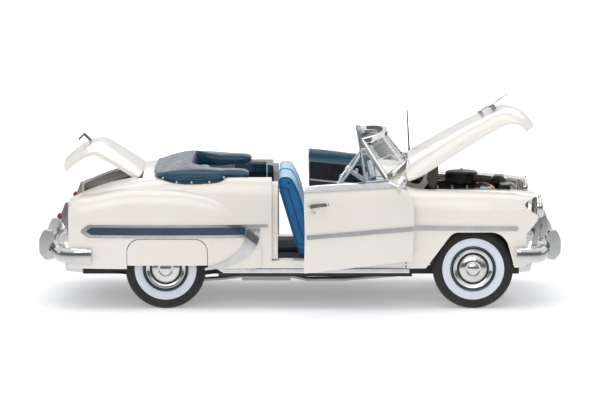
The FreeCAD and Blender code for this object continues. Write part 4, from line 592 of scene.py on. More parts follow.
def rear_x(z):
    return -0.6 - (z - 26.8) * 11.4 / 37.6


def seat_back(side):
    word = "left" if side > 0 else "right"
    inner, outer = side * 0.5, side * SEAT_END
    low, high = sorted((inner, outer))
    seams = []
    for y in (low + SEAM_IN + EDGE, high - SEAM_IN - EDGE):
        ring = ring_at(BACK_LINE, y, SEAM_IN + EDGE)
        seams.append(ring + ring[:1])
    channels = [low + (high - low) * k / 7 for k in range(1, 7)]
    for y in channels:
        seams.append([(front_x(z) - SEAM_IN, y, z) for z in (60.5, 54, 48, 42, 36, 31)])
    seams.append([(front_x(60.8) - SEAM_IN, y, 60.8) for y in (low + 1, high - 1)])
    for z in (61.5, 31.5):
        seams.append([(rear_x(z) + SEAM_IN, low + 3, z), (rear_x(z) + SEAM_IN, high - 3, z)])
    for y in (low + 3, high - 3):
        seams.append([(rear_x(z) + SEAM_IN, y, z) for z in (61.5, 50, 40, 31.5)])
    face = outer - side * SEAM_IN
    long_seam = [(-6.3, 62.6), (-4.7, 57.3), (-2.9, 52.0),
                 (-1.9, 47.5), (-0.7, 43.8), (0.95, 38.9), (2.0, 35.0)]
    short_seam = [(-11.3, 63.6), (-8.5, 63.5), (-6.3, 62.9)]
    bands = [[(-2.9, 33.4), (0.5, 33.5), (6.6, 33.2)], [(-1.9, 30.6), (1.5, 30.5), (6.9, 30.2)]]
    for line in [long_seam, short_seam] + bands:
        seams.append([(x, face, z) for x, z in line])
    form = slab_form(BACK_LINE, low, high, SEAM_IN)

    def colour_of(p, n):
        beside = abs(n.y) > 0.55 and abs(p.y - outer) < 2.5
        behind = n.x < -0.45 and p.z < 66.5
        return 1 if beside or behind or n.z < -0.6 else 0

    pad = stuffed("seat_back_" + word, form, (SKY, BLUE),
                  "body", seams, cap=0.75, colour_of=colour_of)
    trim = Shape()
    for y in (low + SEAM_IN + EDGE - 0.2, high - SEAM_IN - EDGE + 0.2):
        ring = ring_at(BACK_LINE, y, SEAM_IN + EDGE - 0.2)
        trim.tube(ring + ring[:1], 0.3, 2, 8)
    at = outer - side * (SEAM_IN - 0.14)
    for line, radius in ((long_seam, 0.2), (short_seam, 0.2), (bands[0], 0.16), (bands[1], 0.2)):
        piping(trim, [(x, at, z) for x, z in line], radius, 1)
    for z in (61.5, 31.5):
        piping(trim, [(rear_x(z) + SEAM_IN - 0.1, y, z) for y in (low + 3, (low + high) / 2, high - 3)],
               0.3, 2)
    for y in (low + 3, high - 3):
        piping(trim, [(rear_x(z) + SEAM_IN - 0.1, y, z) for z in (61.5, 50, 40, 31.5)], 0.3, 2)
    for x, z, r in ((-5.8, 66.1, 0.62), (-6.3, 62.5, 0.5)):
        trim.turned([(0, 0.75), (r * 0.6, 0.7), (r, 0.4), (r, -0.6)],
                    (x, outer - side * 0.7, z), (0, side, 0), 20, 3)
    trim.made("seat_back_piping_" + word, (SKY_CORD, SEAM_DARK, BLUE, SEAM_DARK), "body", "seat_blue")
    return pad


SKY_CORD = grained("piping_light_blue", (0.22, 0.50, 0.76), (0.28, 0.56, 0.80), 0.35, 800.0, 0.1)
SEAM_DARK = grained("seam_shadow_blue", (0.003, 0.035, 0.10), (0.005, 0.05, 0.13), 0.5, 800.0, 0.1)
backs = [seat_back(side) for side in (1, -1)]
for pad in backs:
    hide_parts("front_seat_back")


def cushion(name, line, half, node, top_z, x_rear, x_front):
    """Bench cushion: boxed edge, lengthwise channels and a cord round its top."""
    seams = []
    for y in (-half + SEAM_IN + EDGE, half - SEAM_IN - EDGE):
        ring = ring_at(line, y, SEAM_IN + EDGE)
        seams.append(ring + ring[:1])
    count = 14
    for k in range(1, count):
        y = -half + 2 * half * k / count
        along = (x_rear + 1.5, (x_rear + x_front) / 2, x_front - 3.5)
        slope = (top_z[1] - top_z[0]) / (x_front - x_rear)
        seams.append([(x, y, top_z[0] + (x - x_rear) * slope - SEAM_IN) for x in along])
    border = [(x_front - 0.2 - SEAM_IN, -half + 1, top_z[1] - 5.0),
              (x_front - 0.2 - SEAM_IN, half - 1, top_z[1] - 5.0)]
    seams.append(border)
    form = slab_form(line, -half, half, SEAM_IN)

    def colour_of(p, n):
        return 1 if abs(n.y) > 0.55 or p.z < top_z[1] - 5.2 else 0

    pad = stuffed(name, form, (SKY, BLUE), "body", seams, cap=0.75, colour_of=colour_of)
    trim = Shape()
    for y in (-half + SEAM_IN + EDGE - 0.2, half - SEAM_IN - EDGE + 0.2):
        ring = ring_at(line, y, SEAM_IN + EDGE - 0.2)
        trim.tube(ring + ring[:1], 0.3, 1, 8)
    piping(trim, [(border[0][0] + 0.3, y, border[0][2]) for y in (-half + 0.8, 0, half - 0.8)], 0.34, 0)
    trim.made(name + "_piping", (SKY_CORD, BLUE), "body", "seat_blue")
    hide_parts(node)


cushion("front_cushion", CUSHION_LINE, SEAT_END, "front_seat_cushion", (41.5, 43.0), 6.6, 32.6)
cushion("rear_cushion", REAR_CUSHION_LINE, 31.5, "rear_seat_cushion", (43.0, 44.5), -48.0, -24.6)


def rear_back():
    half = 29.0
    seams = []
    for y in (-half + SEAM_IN + EDGE, half - SEAM_IN - EDGE):
        ring = ring_at(REAR_BACK_LINE, y, SEAM_IN + EDGE)
        seams.append(ring + ring[:1])
    for k in range(1, 11):
        y = -half + 2 * half * k / 11
        seams.append([(-48.6 - SEAM_IN + (z - 50) * 0.02, y, z) for z in (63.0, 58, 50, 44)])
    seams.append([(-48.3 - SEAM_IN, y, 63.5) for y in (-half + 1, half - 1)])
    form = slab_form(REAR_BACK_LINE, -half, half, SEAM_IN, 3.0)

    def colour_of(p, n):
        return 1 if abs(n.y) > 0.6 and p.z < 62 or n.x < -0.6 else 0

    pad = stuffed("rear_seat_back_pad", form, (SKY, BLUE),
                  "body", seams, cap=0.75, colour_of=colour_of)
    trim = Shape()
    piping(trim, [(-48.5, y, 63.5) for y in (-half + 1.2, 0, half - 1.2)], 0.3, 0)
    trim.made("rear_seat_back_piping", (SKY_CORD,), "body", "seat_blue")
    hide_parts("rear_seat_back")


rear_back()


# Cover over the folded top
def tree_of(*names):
    """Surface of some solids, for finding what lies under a point."""
    work = bmesh.new()
    for name in names:
        work.from_mesh(NODES[name].data)
    tree = BVHTree.FromBMesh(work)
    work.free()
    return tree


SHELL = tree_of("quarter_panel_left", "quarter_panel_right", "rear_deck", "fender_skirts", "sills",
                "front_fender_left", "front_fender_right", "cowl", "tail_panel")


def height_at(x, y):
    """Height of the body's skin under a point, in mm."""
    hit = SHELL.ray_cast(Vector((x, y, 90.0)) * MM, Vector((0, 0, -1)))[0]
    return hit.z / MM if hit and hit.z / MM > 50 else 66.6


BOOT_PLAN = [((-26.7, 40.0), (-26.7, 34.4)), ((-27.3, 42.6), (-27.3, 31.9)), ((-29.6, 43.5), (-30.0, 31.0)),
             ((-34.0, 43.6), (-34.0, 30.8)), ((-38.0, 43.8), (-39.0, 30.8)), ((-39.6, 45.9), (-42.4, 30.8)),
             ((-41.0, 47.1), (-45.6, 30.8)), ((-50.0, 47.4), (-50.2, 30.7)), ((-59.0, 47.3), (-54.6, 30.2)),
             ((-66.5, 46.5), (-56.6, 28.6)), ((-72.4, 44.2), (-57.0, 25.4)), ((-76.0, 39.8), (-57.0, 20.6)),
             ((-77.4, 32.0), (-57.0, 15.0)), ((-77.8, 18.0), (-57.0, 8.0)), ((-77.9, 0.0), (-57.0, 0.0))]
BOOT_TOPS = [(70.8, 71.4, 70.8), (72.4, 73.0, 72.4), (73.0, 73.6, 73.0),
             (73.1, 73.7, 73.1), (73.1, 73.7, 73.2),
             (73.2, 73.8, 73.3), (73.3, 73.9, 73.5), (73.5, 74.3, 74.4),
             (73.5, 74.8, 75.6), (73.3, 74.9, 76.2),
             (72.8, 74.8, 76.5), (72.4, 74.6, 76.6), (72.5, 74.7, 76.7),
             (72.8, 74.8, 76.7), (73.0, 75.0, 76.7)]
BOOT_HEM = [0.0, 0.0, 0.0, 0.0, 1.6, 2.8, 3.2, 3.3, 3.2, 3.0, 2.6, 2.0, 1.4, 1.0, 1.0]


def boot_station(k, mirror):
    (ox, oy), (ix, iy) = BOOT_PLAN[k]
    outer_z, middle_z, inner_z = BOOT_TOPS[k]
    hem = BOOT_HEM[k]
    base = height_at(ox, oy * 0.992) if hem > 0 else 70.0
    base = min(max(base, 65.8), 72.6)
    floor_in = 69.6 if k <= 1 else 66.9

    def at(share, z, out=0.0):
        x, y = ox + (ix - ox) * share, oy + (iy - oy) * share
        away = Vector((ox - ix, oy - iy)).normalized() * out
        return (x + away.x, (y + away.y) * mirror, z)

    low = base + 0.05
    ring = [at(0, low), at(0, low + max(hem, 0.6) * 0.5, 0.15), at(0.005, low + max(hem, 1.2)),
            at(0.03, (low + hem + outer_z) / 2, 0.1), at(0.07, outer_z - 0.7), at(0.17, outer_z),
            at(0.34, (outer_z + middle_z) / 2 + 0.1), at(0.52, middle_z),
            at(0.7, (inner_z + middle_z) / 2 + 0.1),
            at(0.86, inner_z), at(0.965, inner_z - 0.7), at(1, inner_z - 2.6), at(1, floor_in),
            at(0.5, max(floor_in, low if k < 5 else 66.9)), at(0.1, max(66.6, low - 0.4))]
    return ring


def boot_cover():
    stations = [boot_station(k, -1) for k in range(len(BOOT_PLAN))]
    stations += [boot_station(k, 1) for k in range(len(BOOT_PLAN) - 2, -1, -1)]
    cage = bpy.data.meshes.new("cage")
    form = Shape().rings(stations)
    cage.from_pydata(form.verts, [], form.faces)
    obj = bpy.data.objects.new("cage", cage)
    bpy.context.scene.collection.objects.link(obj)
    finer = obj.modifiers.new("finer", "SUBSURF")
    finer.levels = finer.render_levels = 3
    settle(obj)
    fine = Shape()
    fine.verts = [v.co.copy() for v in obj.data.vertices]
    fine.faces = [list(p.vertices) for p in obj.data.polygons]
    bpy.data.objects.remove(obj)
    hem_line = [s[2] for s in stations[4:-4]]
    foot_line = [s[0] for s in stations[3:-3]]
    crest_line = [s[10] for s in stations[1:-1]]
    seams = [curve_points(line, 4) for line in (hem_line, crest_line, foot_line)]
    for side in (-1, 1):
        seams.append(curve_points([(-56.5, side * 21.0, 77.4),
                                   (-63.0, side * 25.0, 76.0), (-70.0, side * 30.5, 74.9),
                                   (-75.8, side * 35.5, 73.2)], 4))
    cover = stuffed("top_cover", fine, (TEAL, TEAL), "body", seams,
                    held=lambda p: p.z < 67.2, cap=0.6, press=3.0, voxel=0.85)
    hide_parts("top_boot")
    tree = BVHTree.FromPolygons([v.co for v in cover.data.vertices],
                                [p.vertices for p in cover.data.polygons])

    def drawn(points, lift):
        """Lay a line of points on the cover."""
        line = []
        for p in curve_points(points, 5):
            hit = tree.find_nearest(p * MM)
            line.append(hit[0] / MM + hit[1] * lift)
        return line

    trim = Shape()
    for points, radius in ((hem_line, 0.26), (crest_line, 0.34)):
        trim.tube(drawn(points, 0.08), radius, 0, 8)
    for side in (-1, 1):
        crease = stations[2:9] if side < 0 else stations[-9:-2]
        trim.tube(drawn([s[5] for s in crease], 0.02), 0.2, 0, 8)
    trim.made("top_cover_piping", (TEAL_CORD,), "body", "boot_teal")
    snaps = Shape()
    line = curve_points([(Vector(a) + Vector(b)) / 2 for a, b in zip(hem_line, foot_line[1:-1])], 8)
    travelled, following = 0.0, 3.0
    for a, b in zip(line, line[1:]):
        travelled += (b - a).length
        if travelled < following:
            continue
        following += 8.6
        hit = tree.find_nearest(b * MM)
        snaps.turned([(0.0, 0.5), (0.28, 0.47), (0.5, 0.34), (0.62, 0.12), (0.66, -0.3)],
                     hit[0] / MM, hit[1], 16)
    snaps.made("top_cover_snaps", (CHROME,), "body", "chrome")


TEAL_CORD = grained("cover_piping", (0.008, 0.075, 0.12), (0.014, 0.10, 0.15), 0.3, 900.0, 0.1)
boot_cover()


# Doors, jambs and cabin trim
VINYL_TEAL = grained("panel_teal", (0.004, 0.045, 0.085), (0.007, 0.06, 0.105), 0.34, 700.0, 0.15)
# Darker, duller copy of the ivory enamel: painted shade for ivory parts in shaded places, the door jambs and
# the radiator support.
SHADED_IVORY = paint("ivory_enamel_painted_shade", (0.72, 0.68, 0.58), (0.66, 0.62, 0.53), 0.32, 0.4)
DIAL = paint("dial_face", (0.70, 0.74, 0.76), (0.62, 0.66, 0.70), 0.3, 0.2)


def both_sides(shape, name, looks, slot, bodies=("body", "body"), **options):
    shape.made(name + "_left", looks, bodies[0], slot, **options)
    shape.mirrored().made(name + "_right", looks, bodies[1], slot, **options)


DOORS = ("door_left", "door_right")
FACE_Y = 42.35


def spread(a, b, count):
    return [a + (b - a) * k / count for k in range(count + 1)]


def door_inside():
    panel = Shape()
    low, high = 29.2, 52.6
    panel.block((-8.4, FACE_Y - 0.7, low), (46.4, FACE_Y + 0.1, high), 1, 0.3)
    panel.block((-8.6, FACE_Y - 1.1, 52.2), (46.2, FACE_Y + 0.1, 53.0), 2, 0.25)
    count = 46
    ring = []
    for k in range(count * 4 + 1):
        x = -8.4 + 54.6 * k / (count * 4)
        ring.append((x, FACE_Y - 0.35 - 0.5 * abs(math.sin(math.pi * k / 4))))
    back = [(x, FACE_Y + 0.1) for x, _ in reversed(ring[::8])]
    loop = ring + back
    panel.rings([[(x, y, z) for x, y in loop] for z in (53.0, 63.0)], 1)
    panel.block((-8.4, FACE_Y - 0.9, 29.2), (46.3, FACE_Y - 0.5, 33.0), 3, 0.15)
    both_sides(panel, "door_panel", (VINYL_TEAL, DARK, CHROME, CARPET), "carpet_floor", DOORS, sharp=30)
    cap = Shape()
    section = [(FACE_Y + 0.2, 62.6), (FACE_Y - 0.8, 62.9), (FACE_Y - 1.2, 64.0), (FACE_Y - 1.3, 66.0),
               (FACE_Y - 1.1, 68.2), (FACE_Y - 0.6, 69.2), (FACE_Y + 0.4, 69.8), (FACE_Y + 1.5, 69.9),
               (FACE_Y + 1.9, 69.6), (FACE_Y + 1.5, 69.2), (FACE_Y + 0.2, 68.9)]
    cap.rings([[(x, y, z) for y, z in section] for x in spread(-8.0, 39.2, 12)])
    both_sides(cap, "door_cap", (TEAL_PAINT,), "dash_blue", DOORS, sharp=60)
    slot_strip = Shape()
    slot_strip.block((-10.6, 44.5, 69.3), (27.6, 45.0, 69.75), 0, 0.12)
    slot_strip.block((-10.6, 45.05, 69.2), (27.6, 45.6, 69.5), 1, 0.1)
    both_sides(slot_strip, "door_window_slot", (BLACK, CHROME), "bright_trim", DOORS)
    rest = Shape()
    rest.block((6.0, FACE_Y - 2.6, 45.6), (28.0, FACE_Y - 0.5, 48.4), 0, 0.8)
    rest.block((5.6, FACE_Y - 2.3, 45.0), (28.4, FACE_Y - 0.5, 45.7), 1, 0.2)
    both_sides(rest, "door_armrest", (BLUE, CHROME), "seat_blue", DOORS)
    metal = Shape()
    for x, z, length in ((16.0, 56.0, 5.0), (34.0, 56.6, 3.6)):
        metal.turned([(0, 0.9), (1.3, 0.8), (1.7, 0.3), (1.8, -0.2)], (x, FACE_Y - 0.8, z), (0, -1, 0), 24)
        metal.tube([(x, FACE_Y - 1.7, z), (x - 0.6, FACE_Y - 2.1, z - length * 0.5),
                    (x - 1.0, FACE_Y - 1.9, z - length)],
                   [0.55, 0.45, 0.5], 0, 10)
        metal.ball((x - 1.0, FACE_Y - 2.2, z - length), 0.75, 1)
    for x in spread(-6.0, 44.0, 5):
        metal.turned([(0, 0.5), (0.45, 0.4), (0.6, 0.0)], (x, FACE_Y - 0.8, 31.2), (0, -1, 0), 12)
    both_sides(metal, "door_handles_inside", (CHROME, BONE), "chrome", DOORS)


door_inside()


QUARTERS = tree_of("quarter_panel_left", "quarter_panel_right")


def inner_wall(x, z, side, default):
    """How far out the cabin's wall is at a place."""
    hit = QUARTERS.ray_cast(Vector((x, side * 20.0, z)) * MM, Vector((0, side, 0)))[0]
    return abs(hit.y) / MM if hit and abs(hit.y) / MM < 50 else default


def quarter_lining():
    """Panel that follows the inside of each quarter."""
    depth, z_low, z_high = 0.5, 31.0, 66.4
    for side, word in SIDES:
        form = Shape()
        rings = []
        last = 46.0
        for x in spread(-36.5, -16.0, 10):
            line, under = [], []
            for share in spread(0, 1, 8):
                z = z_low + (z_high - z_low) * share
                last = inner_wall(x, z, side, last)
                line.append((x, side * (last - depth), z))
                under.append((x, side * (last + 0.02), z))
            rings.append(line + under[::-1])
        form.rings(rings)
        middle = [sum((form.verts[i] for i in f), Vector()) / len(f) for f in form.faces]
        # The band from 46 to 62.8 mm high is near-black, painted shade under the quarter's top; teal paint
        # above it, teal vinyl below.
        form.marks = [1 if p.z > 62.8 else 0 if p.z > 46 else 2 for p in middle]
        form.made("quarter_lining_" + word, (DARK, TEAL_PAINT, VINYL_TEAL), "body", "carpet_floor", sharp=50)


quarter_lining()


def jamb():
    """Folds, seal and striker on the body behind each door."""
    folds = Shape()
    # The folds take the darker ivory copy, painted shade inside the jamb.
    for y, r in ((45.0, 0.55), (43.3, 0.4)):
        folds.tube(curve_points([(-15.0, y, 23.6), (-15.2, y + 0.3, 35),
                                 (-15.1, y + 0.1, 45), (-15.2, y - 0.3, 55),
                                 (-15.4, y - 1.2, 64.5)], 5), r, 0, 8)
    both_sides(folds, "jamb_folds", (SHADED_IVORY,), "ivory_paint")
    seal = Shape()
    seal.tube(curve_points([(-15.3, 41.6, 23.4), (-15.3, 42.0, 40), (-15.3, 41.8, 55), (-15.6, 40.8, 66.0)],
                           6),
              0.55, 0, 8)
    both_sides(seal, "jamb_seal", (BLACK,), "black_plastic")
    striker = Shape()
    striker.block((-15.6, 43.6, 52.4), (-14.75, 45.9, 58.2), 0, 0.25)
    striker.ball((-14.9, 44.8, 55.2), 0.45, 1, 6, 10)
    for z in (53.3, 57.3):
        striker.turned([(0, 0.25), (0.4, 0.2), (0.5, 0)], (-14.8, 44.7, z), (1, 0, 0), 10, 1)
    both_sides(striker, "jamb_striker", (STEEL, CHROME), "grey_metal")
    sill = Shape()
    sill.block((-13.0, 41.2, 22.05), (53.0, 46.6, 22.4), 0, 0.12)
    for k in range(5):
        sill.block((-11.0, 41.9 + k * 0.95, 22.35), (51.0, 42.3 + k * 0.95, 22.6), 1, 0.06)
    both_sides(sill, "sill_plate", (CHROME, SATIN), "bright_trim")
    black = Shape()
    black.block((-14.0, 40.2, 22.3), (46.0, 41.1, 24.4), 0, 0.2)
    both_sides(black, "sill_seal", (BLACK,), "black_plastic")


jamb()


def floor_cover():
    mat = Shape()
    mat.block((-22.0, 6.6, 23.4), (6.0, 38.0, 24.2), 0, 0.3)
    mat.block((34.5, 6.6, 23.4), (36.2, 38.0, 24.2), 0, 0.3)
    both_sides(mat, "floor_mat", (CARPET,), "carpet_floor")


def cabin_front():
    screen = Shape()
    for side in (-1, 1):
        plate = [(43.8, side * 4.0, 87.6), (42.0, side * 6.0, 86.9),
                 (38.2, side * 29.0, 84.9), (36.2, side * 30.0, 85.6),
                 (33.6, side * 29.0, 84.3), (36.2, side * 6.0, 83.2), (39.4, side * 4.2, 84.0)]
        lower = [Vector(p) for p in plate]
        upper = [p + Vector((0.35, 0, 0.75)) for p in lower]
        screen.rings([lower, upper], 0)
        screen.tube([(43.2, side * 4.0, 87.6), (41.2, side * 16.0, 87.0), (37.0, side * 29.5, 86.0)],
                    0.45, 1, 8)
        screen.tube([(45.2, side * 5.0, 89.0), (43.2, side * 5.0, 87.8)], 0.5, 1, 8)
    screen.made("sun_visors", (DARK, CHROME), "body", "black_plastic", sharp=30)
    glass = Shape()
    glass.tube([(45.6, 0, 89.2), (44.0, 0, 86.6), (42.8, 0, 84.8)], 0.4, 0, 8)
    glass.block((41.4, -4.4, 83.4), (42.4, 4.4, 86.0), 0, 0.45)
    glass.block((41.2, -4.0, 83.8), (41.5, 4.0, 85.6), 1, 0.1)
    glass.made("inside_mirror", (CHROME, SATIN), "body", "chrome")
    wipers = Shape()
    for y in (-15.0, 13.0):
        wipers.turned([(0, 1.5), (0.5, 1.4), (0.9, 0.8), (1.0, -0.6)], (59.6, y, 73.4), (0.5, 0, 0.87), 16)
        wipers.tube([(59.8, y, 74.4), (57.6, y - 6.0, 76.4), (56.2, y - 13.0, 78.0)], [0.4, 0.32, 0.25], 0, 8)
        wipers.tube([(57.2, y - 6.0, 76.4), (56.4, y - 12.5, 78.0), (54.2, y - 19.0, 79.0)], 0.24, 1, 6)
    wipers.made("wipers", (CHROME, BLACK), "body", "chrome")


def dash():
    face = Shape()
    x = 37.5
    face.block((x - 0.5, -38.5, 64.4), (x + 0.1, 38.5, 65.1), 0, 0.12)
    face.block((x - 0.5, -38.5, 59.2), (x + 0.3, 38.5, 59.8), 0, 0.12)
    for k in range(26):
        y = -9.5 + k * 0.56
        face.block((x - 0.35, y - 0.14, 59.9), (x + 0.2, y + 0.14, 64.3), 0)
    for y, r in ((19.0, 3.4), (12.4, 2.0), (25.6, 2.0), (-27.0, 2.2)):
        face.turned([(r, -0.6), (r, 0.5), (r - 0.35, 0.75), (r - 0.7, 0.45), (r - 0.75, 0.2), (0, 0.2)],
                    (x, y, 62.0),
                    (-1, 0, 0), 36, marks=[0, 0, 0, 0, 1])
        for k in range(9):
            a = math.radians(-130 + 260 * k / 8)
            spot = Vector((x - 0.3, y + math.sin(a) * (r - 1.1), 62.0 + math.cos(a) * (r - 1.1)))
            face.ball(spot, 0.12, 2, 4, 6)
        face.tube([(x - 0.35, y, 62.0), (x - 0.35, y - r * 0.4, 62.0 + r * 0.45)], 0.1, 3, 5)
    for y in (3.0, 6.0, -13.0, -16.0, 31.0, 34.0):
        face.turned([(0, 1.7), (0.6, 1.6), (0.75, 1.1), (0.5, 0.9), (0.5, 0.0)], (x, y, 61.0), (-1, 0, 0), 14)
    face.block((x - 0.3, -33.5, 60.2), (x + 0.2, -17.8, 64.0), 4, 0.2)
    face.made("dash_instruments", (CHROME, DIAL, BLACK, RED, TEAL_PAINT), "body", "dash_blue", sharp=35)
    pad = Shape()
    section = [(37.2, 66.2), (36.8, 67.4), (37.4, 68.9),
               (39.6, 69.6), (43.0, 69.7), (44.0, 69.0), (43.6, 68.4),
               (38.6, 68.2), (38.0, 66.4)]
    pad.rings([[(a, y, b) for a, b in section] for y in spread(-39.2, 39.2, 10)], 0)
    pad.made("dash_pad", (TEAL_PAINT,), "body", "dash_blue", sharp=60)
    wheel_at, tilt = Vector((27.0, 19.0, 66.5)), Vector((-0.82, 0, 0.57)).normalized()
    side = Vector((0, 1, 0))
    up = tilt.cross(side).normalized()
    horn = Shape()
    arc = [wheel_at + tilt * 0.9 + (side * math.cos(a) - up * math.sin(a)) * 6.6
           for a in (math.radians(200 + 140 * k / 16) for k in range(17))]
    horn.tube(arc, 0.38, 0, 8)
    for a in (math.radians(200), math.radians(340)):
        tip = wheel_at + tilt * 0.9 + (side * math.cos(a) - up * math.sin(a)) * 6.6
        horn.tube([tip, wheel_at + tilt * 1.0 + (tip - wheel_at).normalized() * 2.0], 0.38, 0, 8)
    horn.turned([(0, 2.3), (1.0, 2.15), (1.8, 1.6), (2.35, 0.6), (2.45, -0.4)], wheel_at, tilt, 28)
    for k in range(18):
        a = 2 * math.pi * (k + 0.5) / 18
        spot = wheel_at + (side * math.cos(a) + up * math.sin(a)) * 11.0 - tilt * 0.45
        horn.ball(spot, 0.33, 1, 5, 8)
    horn.made("horn_ring", (CHROME, BONE), "body", "steering_plastic")
    levers = Shape()
    root = wheel_at - tilt * 5.0
    levers.tube([root, root + Vector((0.5, -6.0, 2.0)), root + Vector((0.0, -9.0, 3.6))], 0.4, 0, 8)
    levers.ball(root + Vector((0.0, -9.2, 3.7)), 0.95, 1)
    levers.tube([root, root + Vector((0.3, 5.5, 1.6))], 0.35, 0, 8)
    levers.ball(root + Vector((0.3, 5.6, 1.6)), 0.6, 1)
    levers.made("column_levers", (CHROME, BONE), "body", "steering_plastic")
    pedals = Shape()
    for y, w in ((25.5, 1.7), (19.5, 1.7)):
        pedals.block((40.6, y - w, 35.2), (41.4, y + w, 39.2), 0, 0.3)
        pedals.tube([(41.2, y, 38.0), (43.0, y, 45.0), (46.6, y, 50.0)], 0.5, 1, 8)
        for k in range(4):
            pedals.block((40.3, y - w + 0.3, 35.8 + k * 0.85), (40.8, y + w - 0.3, 36.2 + k * 0.85), 0)
    pedals.block((41.6, 11.4, 26.6), (42.4, 13.4, 34.0), 0, 0.3)
    pedals.tube([(42.2, 12.4, 31.0), (45.6, 12.4, 34.5)], 0.4, 1, 8)
    pedals.made("pedals", (BLACK, STEEL), "body", "black_plastic")


floor_cover()
cabin_front()
dash()


# Engine bay
HOSE = cast("hose_rubber", (0.010, 0.010, 0.011), (0.025, 0.025, 0.027), 0.38, 0.0, 500.0)
PLATE = cast("plate_grey", (0.075, 0.068, 0.062), (0.11, 0.10, 0.09), 0.4, 0.5)
BRASS = chrome("brass_fittings", (0.72, 0.55, 0.28), 0.2, 0.1)


def air_cleaner_dress():
    at = Vector((87.6, -3.0, 0))
    shell = Shape()
    r = 8.75
    for z in (67.4, 66.2, 65.0, 63.8):
        shell.turned([(r - 0.5, z - 0.35), (r, z - 0.2), (r, z + 0.2), (r - 0.5, z + 0.35)],
                     at, (0, 0, 1), 64)
    shell.turned([(0, 68.9), (1.2, 68.85), (4.0, 68.6), (6.8, 68.55), (8.0, 68.3), (8.5, 67.9), (8.5, 67.6),
                  (8.0, 67.7)], at, (0, 0, 1), 64)
    for k in range(40):
        a = 2 * math.pi * k / 40
        out = Vector((math.cos(a), math.sin(a), 0))
        shell.tube([at + out * 8.55 + Vector((0, 0, 62.9)), at + out * 8.55 + Vector((0, 0, 67.6))],
                   0.14, 0, 5)
    shell.tube([at + Vector((0, 0, 68.7)), at + Vector((0, 0, 69.8))], 0.3, 1, 8)
    shell.tube([at + Vector((-0.9, 0, 69.7)), at + Vector((0, 0, 69.3)), at + Vector((0.9, 0, 69.7))],
               0.28, 1, 8)
    shell.tube([at + Vector((6.5, -6.0, 65.4)), at + Vector((12.0, -8.5, 65.2)),
                at + Vector((15.0, -9.0, 64.6))],
               [1.9, 1.8, 2.0], 0, 16)
    shell.made("air_cleaner_bands", (ENGINE, CHROME), "body", "black_engine", sharp=35)


